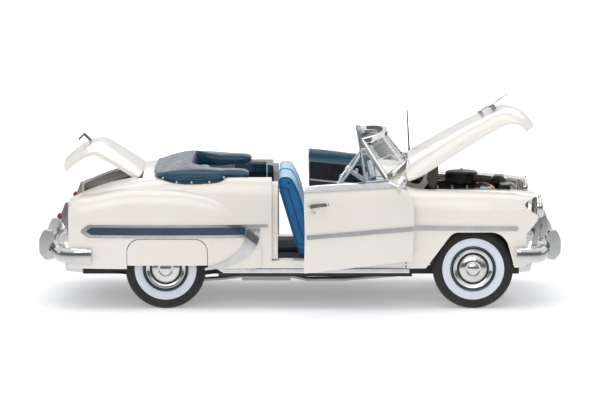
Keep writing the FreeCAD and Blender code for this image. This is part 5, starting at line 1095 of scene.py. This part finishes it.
def engine_dress():
    top = Shape()
    top.block((63.2, -3.2, 62.2), (94.0, 3.2, 63.0), 0, 0.35)
    for x in spread(65.5, 92.0, 4):
        top.turned([(0, 0.6), (0.4, 0.55), (0.55, 0.1), (0.55, -0.4)], (x, 2.3, 63.0), (0, 0, 1), 6, 1)
    top.turned([(0, 1.6), (1.2, 1.5), (1.3, 0.9), (1.0, 0.8), (1.0, -0.4)], (70.0, 0, 63.0), (0, 0, 1), 20, 1)
    top.made("rocker_cover_trim", (ENGINE, CHROME), "body", "black_engine")
    side = Shape()
    for word in (-1, 1):
        y = word * 7.2
        for k in range(4):
            x = 64.0 + k * 8.6
            side.tube([(x, y, 52.0), (x + 0.4, y + word * 2.0, 50.6), (x + 2.2, y + word * 3.0, 47.0)],
                      1.15, 0, 12)
        side.tube([(62.0, y + word * 3.0, 46.6), (94.0, y + word * 3.0, 46.6)], 1.5, 0, 14)
        side.tube([(62.4, y + word * 3.0, 46.6), (60.6, y + word * 3.2, 42.0), (58.8, y + word * 3.4, 36.0)],
                  1.3, 0, 12)
        low, high = sorted((y + word * 0.5, y - word * 0.3))
        side.block((63.0, low, 56.6), (95.0, high, 58.2), 1, 0.2)
    for k in range(4):
        x = 66.5 + k * 8.0
        for y in (-6.4, 6.4):
            side.turned([(0, 1.7), (0.35, 1.6), (0.45, 0.6), (0.65, 0.5), (0.65, -0.3)],
                        (x, y, 59.4), (0, 0, 1), 10, 2)
    side.made("manifolds", (GREY, ENGINE, BONE), "body", "black_engine")
    wires = Shape()
    cap = Vector((62.4, 0.5, 66.0))
    wires.turned([(0, 3.4), (1.6, 3.2), (2.2, 2.0), (2.3, 0.0), (1.9, -2.8)],
                 (62.4, 0.5, 63.4), (0, 0, 1), 24, 1)
    for k in range(4):
        x = 66.5 + k * 8.0
        for y in (-6.4, 6.4):
            start = cap + Vector((0.6 * (k - 1.5), y * 0.18, 0.6))
            wires.tube(curve_points([start, start + Vector((1.0, y * 0.2, 1.7)),
                                     (x * 0.5 + 31.5, y * 0.75, 65.2),
                                     (x - 0.6, y, 62.6), (x, y, 60.9)], 5), 0.22, 0, 6)
    wires.made("ignition_wires", (HOSE, BLACK), "body", "black_engine")
    front = Shape()
    for r, groove, y, z, sides in ((2.4, 0.5, 0, 50.0, 32),
                                   (3.0, 0.5, 0, 37.0, 32), (1.8, 0.4, 8.4, 55.0, 28)):
        front.turned([(0, 1.0), (r - 0.1, 0.9), (r, 0.4), (r - groove, 0.0), (r, -0.4), (r, -0.8), (0, -0.8)],
                     (101.6, y, z), (1, 0, 0), sides, 1)
    front.tube([(99.0, 0, 50.0), (103.2, 0, 50.0)], 0.8, 1, 12)
    belt = [(101.6, -3.0, 37.0), (101.6, -2.4, 50.0), (101.6, 0, 52.5),
            (101.6, 7.4, 56.6), (101.6, 9.6, 56.2),
            (101.6, 10.1, 54.4), (101.6, 3.0, 36.4), (101.6, 0, 34.0), (101.6, -3.0, 37.0)]
    front.tube(curve_points(belt, 6), 0.42, 0, 6)
    front.tube([(92.5, 8.4, 55.0), (100.4, 8.4, 55.0)], 2.3, 2, 20)
    for k in range(5):
        a = 2 * math.pi * k / 5
        out = Vector((0, math.cos(a), math.sin(a)))
        turn = Vector((0, -math.sin(a), math.cos(a)))
        centre = Vector((103.4, 0, 50.0))
        blade = [centre + out * 1.6 - turn * 1.1 + Vector((0.5, 0, 0)),
                 centre + out * 8.2 - turn * 1.9 + Vector((0.7, 0, 0)),
                 centre + out * 8.6 + turn * 1.4 + Vector((-0.7, 0, 0)),
                 centre + out * 1.6 + turn * 1.1 + Vector((-0.5, 0, 0))]
        front.rings([[p - Vector((0.15, 0, 0)) for p in blade], [p + Vector((0.15, 0, 0)) for p in blade]], 2)
    front.made("fan_and_belt", (HOSE, STEEL, ENGINE), "body", "black_engine", sharp=30)


def pipes():
    hoses = Shape()
    hoses.tube(curve_points([(99.4, 0, 56.4), (102.0, -2.0, 60.0), (105.4, -5.0, 63.4), (109.0, -7.5, 63.6),
                             (110.6, -8.6, 61.0)], 6), 2.3, 0, 18)
    for k in range(7):
        t = k / 6
        hoses.turned([(2.2, -0.2), (2.55, 0), (2.2, 0.2)], (102.0 + 4.6 * t, -2.0 - 3.6 * t, 60.0 + 3.6 * t),
                     (0.7, -0.5, 0.5), 20)
    hoses.tube(curve_points([(99.6, -4.0, 40.0), (103.5, -9.0, 36.0), (107.4, -13.0, 34.0)], 6), 1.6, 0, 14)
    for p, run in (((99.9, -0.4, 57.0), (0.5, -0.3, 0.8)), ((110.4, -8.4, 61.6), (0.3, -0.2, -1))):
        hoses.turned([(2.35, -0.45), (2.6, -0.4), (2.6, 0.4), (2.35, 0.45)], p, run, 24, 1)
    for radius, sides, line in (
            (0.75, 10, [(58.6, 16.0, 58.0), (63.0, 16.4, 61.5), (72.0, 12.0, 62.5), (84.0, 9.6, 60.5),
                        (94.0, 8.0, 58.0)]),
            (0.75, 10, [(58.6, 20.0, 56.0), (66.0, 21.0, 59.5), (80.0, 16.0, 59.0), (92.0, 10.0, 52.0)]),
            (0.6, 8, [(58.6, -18.0, 55.0), (64.0, -20.0, 58.0), (78.0, -19.5, 57.0), (96.0, -21.0, 55.0),
                      (104.0, -22.0, 52.0)])):
        hoses.tube(curve_points(line, 6), radius, 0, sides)
    hoses.made("hoses", (HOSE, CHROME), "body", "black_engine")
    lines = Shape()
    for radius, sides, steps, line in (
            (0.62, 10, 6, [(95.4, -4.0, 64.3), (98.0, -4.4, 64.7), (103.0, -5.0, 64.6), (106.6, -5.6, 64.0)]),
            (0.42, 8, 6, [(95.6, -7.0, 62.6), (99.0, -9.0, 62.9),
                          (104.0, -11.0, 60.8), (105.8, -12.0, 57.0)]),
            (0.4, 8, 6, [(60.0, -10.0, 52.0), (72.0, -11.6, 55.0), (88.0, -12.0, 56.0), (96.0, -10.0, 60.0)]),
            (0.35, 8, 5, [(60.0, 24.0, 52.0), (76.0, 26.0, 53.0), (92.0, 27.0, 52.0)])):
        lines.tube(curve_points(line, steps), radius, 0, sides)
    for p in ((95.6, -4.0, 64.3), (106.4, -5.6, 64.0)):
        lines.turned([(0.6, -0.5), (0.95, -0.45), (0.95, 0.45), (0.6, 0.5)], p, (1, -0.1, 0), 6, 1)
    lines.made("copper_lines", (COPPER, BRASS), "body", "chrome")
    radiator = Shape()
    radiator.turned([(0, 1.5), (1.3, 1.4), (2.1, 1.1), (2.3, 0.5), (2.0, 0.3), (1.3, 0.2), (1.3, -0.8)],
                    (110.2, -3.0, 63.6), (0, 0, 1), 28, 1)
    radiator.block((107.2, -23.6, 60.6), (112.6, 23.6, 63.4), 0, 0.8)
    for k in range(60):
        y = -22.6 + 45.2 * k / 59
        radiator.block((106.75, y - 0.12, 28.5), (107.1, y + 0.12, 60.4), 2)
    for k in range(15):
        z = 29.5 + k * 2.1
        radiator.block((106.6, -22.8, z), (107.0, 22.8, z + 0.2), 2)
    radiator.made("radiator_dress", (ENGINE, CHROME, BLACK), "body", "chassis_black", sharp=30)


def bay_fittings():
    tank = Shape()
    tank.block((96.6, -22.4, 57.2), (103.0, -16.0, 61.8), 0, 0.7)
    tank.turned([(0, 0.9), (1.1, 0.8), (1.2, 0.2), (1.0, -0.2)], (99.8, -19.2, 61.9), (0, 0, 1), 20, 1)
    tank.block((96.4, -22.6, 54.6), (103.2, -15.8, 57.3), 2, 0.4)
    for x in (97.4, 101.8):
        tank.tube([(x, -22.6, 57.0), (x, -28.0, 55.6), (x, -34.2, 54.0)], 0.5, 2, 8)
    tank.made("washer_tank", (BONE, BLUE, BLACK), "body", "black_plastic")
    heater = Shape()
    heater.turned([(0, 4.6), (3.2, 4.4), (4.2, 3.6), (4.4, 0.2), (4.4, -0.6)],
                  (49.9, 20.0, 55.0), (1, 0, 0), 32)
    heater.turned([(0, 2.4), (1.7, 2.3), (1.9, 1.8), (1.9, 0.0)], (49.9, -14.0, 58.0), (1, 0, 0), 24)
    heater.turned([(0, 5.4), (1.0, 5.2), (1.2, 4.4), (2.9, 3.9), (3.0, 0.6), (1.6, 0.0)], (49.9, -22.0, 52.0),
                  (1, 0, 0), 28, 1)
    heater.block((49.8, -6.0, 46.0), (51.2, 6.0, 56.0), 1, 0.3)
    for z in (48.0, 50.4, 52.8):
        heater.block((51.1, -5.4, z), (51.5, 5.4, z + 0.5), 1)
    heater.made("firewall_fittings", (BLACK, STEEL), "body", "black_plastic", sharp=35)
    battery = Shape()
    for k in range(3):
        for y in (23.6, 26.4):
            battery.turned([(0, 0.7), (0.7, 0.65), (0.8, 0.2), (0.8, -0.4)],
                           (98.0 + 2.5 * k, y, 57.2), (0, 0, 1), 14)
    battery.tube(curve_points([(97.5, 21.4, 58.4), (95.0, 19.0, 58.8), (93.0, 14.0, 54.0), (92.0, 8.4, 46.0)],
                              6), 0.45, 1, 8)
    battery.tube(curve_points([(103.4, 28.6, 58.4), (105.6, 31.0, 57.6), (106.5, 33.4, 54.0)], 6), 0.45, 2, 8)
    for y in (19.4, 30.1):
        battery.block((95.4, y, 50.6), (105.6, y + 0.5, 51.4), 3, 0.1)
    battery.made("battery_fittings", (BLACK, HOSE, RED, STEEL), "body", "battery_black")
    cheek = Shape()
    back = opened("hood").inverted()
    half = [(73.4, 74.7), (73.6, 71.4), (73.3, 66.6), (72.2, 63.4), (70.7, 61.8), (68.6, 63.6), (67.3, 67.2),
            (67.8, 70.0), (69.1, 72.0), (71.2, 73.8)]
    for side in (-1, 1):
        rings = [[back @ (Vector((x, side * y, z)) * MM) / MM for x, z in half] for y in (29.6, 30.3)]
        cheek.rings(rings, 0)
    cheek.made("hinge_plates", (PLATE,), "hood", "grey_metal", sharp=30)
    inner = Shape()
    for side in (-1, 1):
        y = side * 34.2
        for k in range(3):
            x = 70.0 + 15.0 * k
            inner.rings([[(x, y, 46.5), (x + 11.0, y, 46.5), (x + 11.0, y, 58.5), (x, y, 58.5)],
                         [(x + 0.7, y - side * 0.5, 47.2), (x + 10.3, y - side * 0.5, 47.2),
                          (x + 10.3, y - side * 0.5, 57.8), (x + 0.7, y - side * 0.5, 57.8)]], 0)
        for k in range(7):
            inner.turned([(0, 0.5), (0.4, 0.45), (0.5, 0.1), (0.5, -0.2)],
                         (69.0 + 8.0 * k, y, 59.6), (0, -side, 0), 8, 1)
        at = side * 17.0
        # The radiator support arcs take the darker ivory copy, painted shade inside the bay.
        arcs = curve_points([(114.2, at, 58.9), (116.4, at, 59.2), (118.6, at, 57.4), (119.8, at, 53.6)], 6)
        inner.tube(arcs, 0.6, 2, 10)
        inner.tube([(p.x - 1.7, p.y, p.z - 1.6) for p in arcs], 0.4, 2, 8)
        inner.block((119.6, at - 1.0, 51.0), (121.4, at + 1.0, 61.6), 3, 0.3)
    inner.made("bay_panels", (BLACK, STEEL, SHADED_IVORY, CHROME), "body", "chassis_black", sharp=30)


air_cleaner_dress()
engine_dress()
pipes()
bay_fittings()


# Outside trim
OUTSIDE = tree_of("quarter_panel_left", "quarter_panel_right",
                  "front_fender_left", "front_fender_right", "sills",
                  "fender_skirts", "tail_panel")


def side_at(x, z, side, default=48.0):
    """How far out the body's skin is at a place."""
    hit = OUTSIDE.ray_cast(Vector((x, side * 70.0, z)) * MM, Vector((0, -side, 0)))[0]
    return abs(hit.y) / MM if hit and abs(hit.y) / MM > 25 else default


def skin_strip(shape, xs, z0, z1, proud, side):
    """Moulding laid along the flank between two heights."""
    rings = []
    y = 48.0
    for x in xs:
        y = side_at(x, (z0 + z1) / 2, side, y)
        rings.append([(x, side * (y - 0.3), z0), (x, side * (y + proud * 0.6), z0),
                      (x, side * (y + proud), z0 * 0.7 + z1 * 0.3),
                      (x, side * (y + proud), z0 * 0.3 + z1 * 0.7),
                      (x, side * (y + proud * 0.6), z1), (x, side * (y - 0.3), z1)])
    return shape.rings(rings)


def rockers():
    for side, word in SIDES:
        strip = Shape()
        for x0, x1, near, far, z0, z1, mark, round_by in (
                (-40.6, 57.6, 47.6, 48.75, 19.5, 22.5, 0, 0.25),
                (-40.2, 57.2, 48.6, 48.95, 20.4, 20.7, 1, 0.05),
                (-40.2, 57.2, 48.6, 48.95, 21.3, 21.6, 1, 0.05),
                # The black block below the moulding is painted shadow under the car's edge, with the black
                # frame behind it.
                (-43.0, 59.0, 45.5, 48.0, 17.6, 19.5, 2, 0.3)):
            low, high = sorted((side * near, side * far))
            strip.block((x0, low, z0), (x1, high, z1), mark, round_by)
        strip.made("rocker_moulding_and_under_shadow_" + word, (CHROME, SATIN, BLACK), "body", "bright_trim")
        ribs = Shape()
        for k in range(8):
            x = -27.9 + k * 0.92
            y = side_at(x, 42.0, side)
            low, high = sorted((side * (y - 0.2), side * (y + 0.75)))
            ribs.block((x - 0.26, low, 40.2), (x + 0.26, high, 43.6), 0, 0.1)
        ribs.made("side_ribs_" + word, (CHROME,), "body", "chrome")
        strips = Shape()
        skin_strip(strips, spread(59.5, 113.5, 24), 43.05, 43.95, 0.55, side)
        strips.made("fender_moulding_" + word, (CHROME,), "body", "bright_trim")


def filler_door():
    door = Shape()
    centre = Vector((-84.0, 0, 57.0))
    rings = []
    for r, out in ((3.1, -0.25), (3.1, 0.12), (2.95, 0.2)):
        ring = []
        for k in range(40):
            a = 2 * math.pi * k / 40
            x, z = centre.x + r * math.cos(a) * 1.15, centre.z + r * math.sin(a)
            ring.append((x, side_at(x, z, 1) + out, z))
        rings.append(ring)
    door.rings(rings, 0)
    door.made("filler_door", (IVORY,), "body", "ivory_paint", sharp=30)


def handle_details():
    for side, word in SIDES:
        keys = Shape()
        keys.turned([(0, 0.45), (0.55, 0.42), (0.8, 0.2), (0.85, -0.3)],
                    (-9.6, side * 50.7, 57.6), (0, side, 0), 18)
        keys.block((-9.75, min(side * 51.0, side * 51.22), 57.3),
                   (-9.45, max(side * 51.0, side * 51.22), 57.9), 1)
        keys.ball((-2.3, side * 52.0, 61.5), 0.62, 0, 6, 12)
        keys.made("door_lock_" + word, (CHROME, BLACK), "door_" + word, "chrome")


def lamp_details():
    """Headlamp rings with a small stud at the top, and parking lamps."""
    lamps = Shape()
    for side in (-1, 1):
        at = Vector((124.6, side * 42.3, 53.8))
        lamps.turned([(6.15, 1.5), (6.35, 1.2), (6.2, 0.9)], at, (1, 0, 0), 48)
        lamps.turned([(0, 0.9), (0.35, 0.8), (0.45, 0.3), (0.4, 0.0)],
                     at + Vector((1.7, 0, 5.9)), (1, 0, 0.3), 10, 1)
        park = Vector((126.6, side * 37.0, 38.6))
        lamps.turned([(0, 1.5), (1.1, 1.35), (1.8, 0.9), (2.1, 0.3), (2.1, -1.5)],
                     park, (1, side * 0.25, 0), 28, 2)
        lamps.turned([(2.1, 0.5), (2.45, 0.3), (2.5, -0.4), (2.3, -1.0)], park, (1, side * 0.25, 0), 28)
    lamps.made("parking_lamps", (CHROME, STEEL, LENS), "body", "chrome")


BUMPERS = tree_of("bumper_front", "bumper_rear")


def bumper_details():
    bolts = Shape()
    for end in (1, -1):
        for y in (-30.0, -10.0, 10.0, 30.0):
            hit = BUMPERS.ray_cast(Vector((end * 160.0, y, 29.4)) * MM, Vector((-end, 0, 0)))[0]
            if hit:
                bolts.turned([(0, 0.35), (0.55, 0.3), (0.85, 0.0), (0.85, -0.2)], hit / MM, (end, 0, 0), 16)
    bolts.made("bumper_bolts", (CHROME,), "body", "chrome")
    plate = Shape()
    hit = BUMPERS.ray_cast(Vector((-160.0, 0.0, 29.4)) * MM, Vector((1, 0, 0)))[0]
    face = hit.x / MM
    plate.block((face - 0.9, -8.4, 26.0), (face - 0.3, 8.4, 32.9), 0, 0.15)
    plate.block((face - 1.05, -8.0, 26.4), (face - 0.8, 8.0, 32.5), 1, 0.1)
    plate.made("rear_blank_plate", (CHROME, BONE), "body", "chrome")
    pan = Shape()
    pan_x = -128.6
    pan.tube(curve_points([(pan_x - 3.4, -42.0, 30.8), (pan_x - 4.6, -30.0, 30.4), (pan_x - 5.0, 0, 30.2),
                           (pan_x - 4.6, 30.0, 30.4), (pan_x - 3.4, 42.0, 30.8)], 8), 0.55, 0, 8)
    pan.made("rear_pan_edge", (BLACK,), "body", "black_plastic")


# Trunk and hood insides
def trunk():
    strip = Shape()
    line = curve_points([(-90.0, -30.6, 62.4), (-98.0, -31.0, 60.2),
                         (-106.0, -30.8, 56.8), (-113.0, -30.0, 52.6),
                         (-116.8, -27.0, 49.0), (-117.4, -20.0, 48.2),
                         (-117.5, 0.0, 48.0), (-117.4, 20.0, 48.2),
                         (-116.8, 27.0, 49.0), (-113.0, 30.0, 52.6),
                         (-106.0, 30.8, 56.8), (-98.0, 31.0, 60.2),
                         (-90.0, 30.6, 62.4)], 6)
    strip.tube(line, 0.65, 0, 8)
    strip.made("trunk_weatherstrip", (SEAL,), "body", "black_plastic")
    mat = Shape()
    mat.block((-117.0, -33.0, 30.25), (-66.5, 33.0, 30.8), 0, 0.2)
    mat.block((-66.4, -33.0, 30.6), (-65.5, 33.0, 62.0), 0, 0.2)
    mat.made("trunk_mat", (CARPET,), "body", "carpet_floor")
    wheel_rim = Shape()
    at = Vector((-92.0, -13.4, 34.6))
    wheel_rim.turned([(10.3, 3.6), (10.9, 3.9), (10.7, 3.2),
                      (9.9, 2.4), (9.0, 2.0), (7.2, 1.9), (6.0, 2.6), (4.0, 2.7),
                      (3.4, 2.4), (1.8, 2.4), (1.8, 1.2), (9.8, 1.0), (10.2, 2.6)], at, (0, 0, 1), 64)
    for k in range(5):
        a = 2 * math.pi * k / 5
        wheel_rim.ball(at + Vector((math.cos(a) * 3.6, math.sin(a) * 3.6, 2.8)), 0.4, 1, 5, 8)
    wheel_rim.turned([(0, 5.4), (0.8, 5.3), (1.0, 4.6), (0.7, 4.4), (0.7, 1.2)], at, (0, 0, 1), 16, 1)
    for r in (15.5, 17.6):
        wheel_rim.turned([(r - 0.4, 4.3), (r, 4.55), (r + 0.4, 4.3)], at, (0, 0, 1), 96, 2)
    wheel_rim.made("spare_rim", (NAVY_RIM, STEEL, RUBBER), "body", "rim_metal", sharp=35)


def lid_under(lid, name, ribs, gap):
    """Pressed bracing under a lid, found from the lid's own underside."""
    work = bmesh.new()
    work.from_mesh(NODES[lid].data)
    work.transform(opened(lid).inverted())
    tree = BVHTree.FromBMesh(work)
    work.free()
    frame_shape = Shape()
    for line, width in ribs:
        rings = []
        pts = curve_points([(x, y, 0) for x, y in line], 6)
        for i, p in enumerate(pts):
            run = (pts[min(i + 1, len(pts) - 1)] - pts[max(i - 1, 0)]).normalized()
            out = Vector((-run.y, run.x, 0)) * width / 2
            ring = []
            for q, drop in ((p + out, 0.0), (p + out * 0.75, gap), (p - out * 0.75, gap), (p - out, 0.0)):
                hit = tree.ray_cast(Vector((q.x, q.y, -50)) * MM, Vector((0, 0, 1)))[0]
                if not hit:
                    break
                ring.append(Vector((q.x, q.y, hit.z / MM + 0.02 - drop)))
            if len(ring) == 4:
                rings.append(ring)
        if len(rings) > 2:
            frame_shape.rings([r + [r[3] + Vector((0, 0, 0.25)), r[0] + Vector((0, 0, 0.25))] for r in rings],
                              0)
    frame_shape.made(name, (IVORY,), lid, "ivory_paint", sharp=35)


lid_under("hood", "hood_bracing",
          [([(66, -30), (82, -28), (100, -25), (114, -21)], 3.4),
           ([(66, 30), (82, 28), (100, 25), (114, 21)], 3.4),
           ([(64, -28), (64.5, 0), (64, 28)], 3.2), ([(112, -20), (115, 0), (112, 20)], 3.0),
           ([(66, -24), (88, -8), (112, 0)], 2.6), ([(66, 24), (88, 8), (112, 0)], 2.6)], 0.8)
lid_under("trunk_lid", "trunk_lid_bracing",
          [([(-88, -27), (-98, -28), (-110, -27)], 3.2), ([(-88, 27), (-98, 28), (-110, 27)], 3.2),
           ([(-89, -26), (-89, 26)], 2.8), ([(-88, -20), (-100, -7), (-111, 0)], 2.6),
           ([(-88, 20), (-100, 7), (-111, 0)], 2.6)], 0.7)


# Underside
def underside():
    drive = Shape()
    drive.tube([(36.0, 0, 20.4), (-58.0, 0, 20.8)], 1.5, 0, 20)
    for x in (35.0, -57.5):
        drive.ball((x, 0, 20.6), 2.2, 1, 8, 16)
    drive.turned([(0, 6), (2.4, 5.6), (3.4, 3), (4.0, -2), (5.2, -6), (5.4, -9), (0, -9)],
                 (44.0, 0, 21.6), (-1, 0, 0), 32, 1)
    drive.block((60.0, -5.6, 17.6), (88.0, 5.6, 21.0), 1, 1.6)
    drive.made("drive_line", (STEEL, ENGINE), "body", "black_engine", sharp=40)
    tank = Shape()
    tank.block((-112.0, -14.0, 19.5), (-92.0, 14.0, 29.6), 0, 2.4)
    for y in (-8.0, 8.0):
        tank.block((-112.5, y - 0.9, 19.2), (-91.5, y + 0.9, 19.7), 1, 0.1)
    tank.made("fuel_tank", (BLACK, STEEL), "body", "chassis_black", sharp=40)
    springs = Shape()
    for side in (-1, 1):
        y = side * 29.0
        for k in range(4):
            half = 26.0 - 5.0 * k
            line = [(REAR_AXLE + half * t, y, 16.6 - 1.6 * (1 - t * t) - k * 0.55) for t in spread(-1, 1, 12)]
            springs.rings([[(x, yy - 1.6, z - 0.22), (x, yy + 1.6, z - 0.22), (x, yy + 1.6, z + 0.22),
                            (x, yy - 1.6, z + 0.22)] for x, yy, z in line], 0)
        springs.tube([(REAR_AXLE + 3.0, side * 26.0, 18.0), (REAR_AXLE + 8.0, side * 20.0, 28.6)], 1.1, 1, 14)
        points = []
        for k in range(91):
            a = 2 * math.pi * k / 15
            points.append((FRONT_AXLE + 2.6 * math.cos(a),
                           side * 24.0 + 2.6 * math.sin(a), 22.0 + 12.0 * k / 90))
        springs.tube(points, 0.45, 1, 6)
    springs.tube([(FRONT_AXLE - 8.0, -22.0, 18.6), (FRONT_AXLE - 8.0, 22.0, 18.6)], 0.6, 0, 10)
    springs.made("springs", (BLACK, STEEL), "body", "chassis_black", sharp=35)


def antenna_mast():
    points = [v.co / MM for v in NODES["antenna"].data.vertices]
    low, high = min(p.z for p in points), max(p.z for p in points)
    ends = []
    for near in (lambda p: p.z < low + 3, lambda p: p.z > high - 1):
        some = [p for p in points if near(p)]
        ends.append(sum(some, Vector()) / len(some))
    foot, tip = ends
    run = (tip - foot).normalized()
    foot = foot + run * 2.0
    mast = Shape()
    mast.tube([foot, foot.lerp(tip, 0.33), foot.lerp(tip, 0.335),
               foot.lerp(tip, 0.66), foot.lerp(tip, 0.665), tip - run * 0.4],
              [0.55, 0.55, 0.45, 0.45, 0.38, 0.36], 0, 12)
    mast.turned([(0, 1.6), (0.9, 1.4), (1.3, 0.6), (1.5, -0.4)], foot, run, 20)
    mast.made("antenna_mast", (MAST,), "body", "bright_trim")


antenna_mast()
rockers()
filler_door()
handle_details()
lamp_details()
bumper_details()
trunk()
underside()


# Stage, with a camera fitted to the picture's perspective
FOCAL_LENGTH = 144.4
EYE_PLACE = (0.0, -1.300, 0.2214)
EYE_DOWN = 7.424


def stage():
    scene = bpy.context.scene
    scene.view_settings.view_transform = "Standard"
    lens = bpy.data.cameras.new("camera")
    lens.lens, lens.sensor_width = FOCAL_LENGTH, 36.0
    lens.clip_start, lens.clip_end = 0.05, 60.0
    eye = bpy.data.objects.new("camera", lens)
    eye.location = EYE_PLACE
    eye.rotation_euler = (math.radians(90 - EYE_DOWN), 0, 0)
    scene.collection.objects.link(eye)
    scene.camera = eye

    world = bpy.data.worlds.new("studio")
    scene.world = world
    world.use_nodes = True
    nodes, links = world.node_tree.nodes, world.node_tree.links
    nodes.clear()
    out = nodes.new("ShaderNodeOutputWorld")
    seen = nodes.new("ShaderNodeBackground")
    seen.inputs["Color"].default_value = (1, 1, 1, 1)
    lit = nodes.new("ShaderNodeBackground")
    lit.inputs["Color"].default_value = (0.93, 0.95, 1.0, 1)
    lit.inputs["Strength"].default_value = 0.62
    path = nodes.new("ShaderNodeLightPath")

    def maths(op, a, b):
        node = nodes.new("ShaderNodeMath")
        node.operation = op
        for socket, value in zip(node.inputs, (a, b)):
            if isinstance(value, (int, float)):
                socket.default_value = value
            else:
                links.new(value, socket)
        return node.outputs[0]

    def ramp(value, low, high, out_low, out_high):
        node = nodes.new("ShaderNodeMapRange")
        node.interpolation_type = "SMOOTHSTEP"
        for key, number in zip(("From Min", "From Max", "To Min", "To Max"), (low, high, out_low, out_high)):
            node.inputs[key].default_value = number
        links.new(value, node.inputs["Value"])
        return node.outputs["Result"]

    # What bright parts mirror: a white studio overhead and behind, and a darker room in front
    aim = nodes.new("ShaderNodeSeparateXYZ")
    links.new(nodes.new("ShaderNodeTexCoord").outputs["Generated"], aim.inputs[0])
    room = nodes.new("ShaderNodeBackground")
    above = ramp(aim.outputs[2], 0.10, 0.55, 0.16, 1.0)
    behind = ramp(aim.outputs[1], -0.15, 0.35, 0.0, 0.95)
    links.new(maths("MAXIMUM", above, behind), room.inputs["Strength"])
    either = maths("MAXIMUM", path.outputs["Is Camera Ray"], path.outputs["Is Transmission Ray"])
    mirrored = nodes.new("ShaderNodeMixShader")
    links.new(path.outputs["Is Glossy Ray"], mirrored.inputs[0])
    links.new(lit.outputs[0], mirrored.inputs[1])
    links.new(room.outputs[0], mirrored.inputs[2])
    pick = nodes.new("ShaderNodeMixShader")
    links.new(either, pick.inputs[0])
    links.new(mirrored.outputs[0], pick.inputs[1])
    links.new(seen.outputs[0], pick.inputs[2])
    links.new(pick.outputs[0], out.inputs[0])

    ground = bpy.data.materials.new("floor")
    ground.use_nodes = True
    nodes, links = ground.node_tree.nodes, ground.node_tree.links
    base = nodes["Principled BSDF"]
    base.inputs["Base Color"].default_value = (0.86, 0.865, 0.88, 1)
    base.inputs["Roughness"].default_value = 0.9
    base.inputs["Specular IOR Level"].default_value = 0.0
    glow = nodes.new("ShaderNodeEmission")
    glow.inputs["Color"].default_value = (1, 1, 1, 1)
    far = nodes.new("ShaderNodeVectorMath")
    far.operation = "LENGTH"
    links.new(nodes.new("ShaderNodeTexCoord").outputs["Object"], far.inputs[0])
    fade = nodes.new("ShaderNodeMapRange")
    for key, number in zip(("From Min", "From Max", "To Min", "To Max"), (0.35, 1.1, 0.30, 1.0)):
        fade.inputs[key].default_value = number
    links.new(far.outputs["Value"], fade.inputs["Value"])
    links.new(fade.outputs["Result"], glow.inputs["Strength"])
    both = nodes.new("ShaderNodeAddShader")
    links.new(base.outputs[0], both.inputs[0])
    links.new(glow.outputs[0], both.inputs[1])
    dim = nodes.new("ShaderNodeEmission")
    shade = nodes.new("ShaderNodeMapRange")
    for key, number in zip(("From Min", "From Max", "To Min", "To Max"), (0.16, 0.45, 0.85, 0.14)):
        shade.inputs[key].default_value = number
    links.new(far.outputs["Value"], shade.inputs["Value"])
    links.new(shade.outputs["Result"], dim.inputs["Strength"])
    floor_mix = nodes.new("ShaderNodeMixShader")
    links.new(nodes.new("ShaderNodeLightPath").outputs["Is Glossy Ray"], floor_mix.inputs[0])
    links.new(both.outputs[0], floor_mix.inputs[1])
    links.new(dim.outputs[0], floor_mix.inputs[2])
    links.new(floor_mix.outputs[0], nodes["Material Output"].inputs["Surface"])
    mesh = bpy.data.meshes.new("floor")
    mesh.from_pydata([(-6, -6, 0), (6, -6, 0), (6, 6, 0), (-6, 6, 0)], [], [(0, 1, 2, 3)])
    mesh.materials.append(ground)
    floor = bpy.data.objects.new("floor", mesh)
    scene.collection.objects.link(floor)

    def lamp(name, place, aim, size, watts):
        light = bpy.data.lights.new(name, "AREA")
        light.shape = "RECTANGLE"
        light.size, light.size_y = size
        light.energy = watts
        obj = bpy.data.objects.new(name, light)
        obj.location = place
        obj.rotation_euler = (Vector(aim) - Vector(place)).to_track_quat("-Z", "Y").to_euler()
        scene.collection.objects.link(obj)

    lamp("top", (0.0, -0.1, 1.3), (0, 0, 0), (1.5, 1.1), 8.0)
    lamp("front", (-0.3, -1.7, 0.9), (0, 0, 0.05), (1.6, 0.8), 5.4)
    lamp("back", (0.2, 1.5, 0.9), (0, 0, 0.05), (1.6, 0.8), 4.0)


stage()
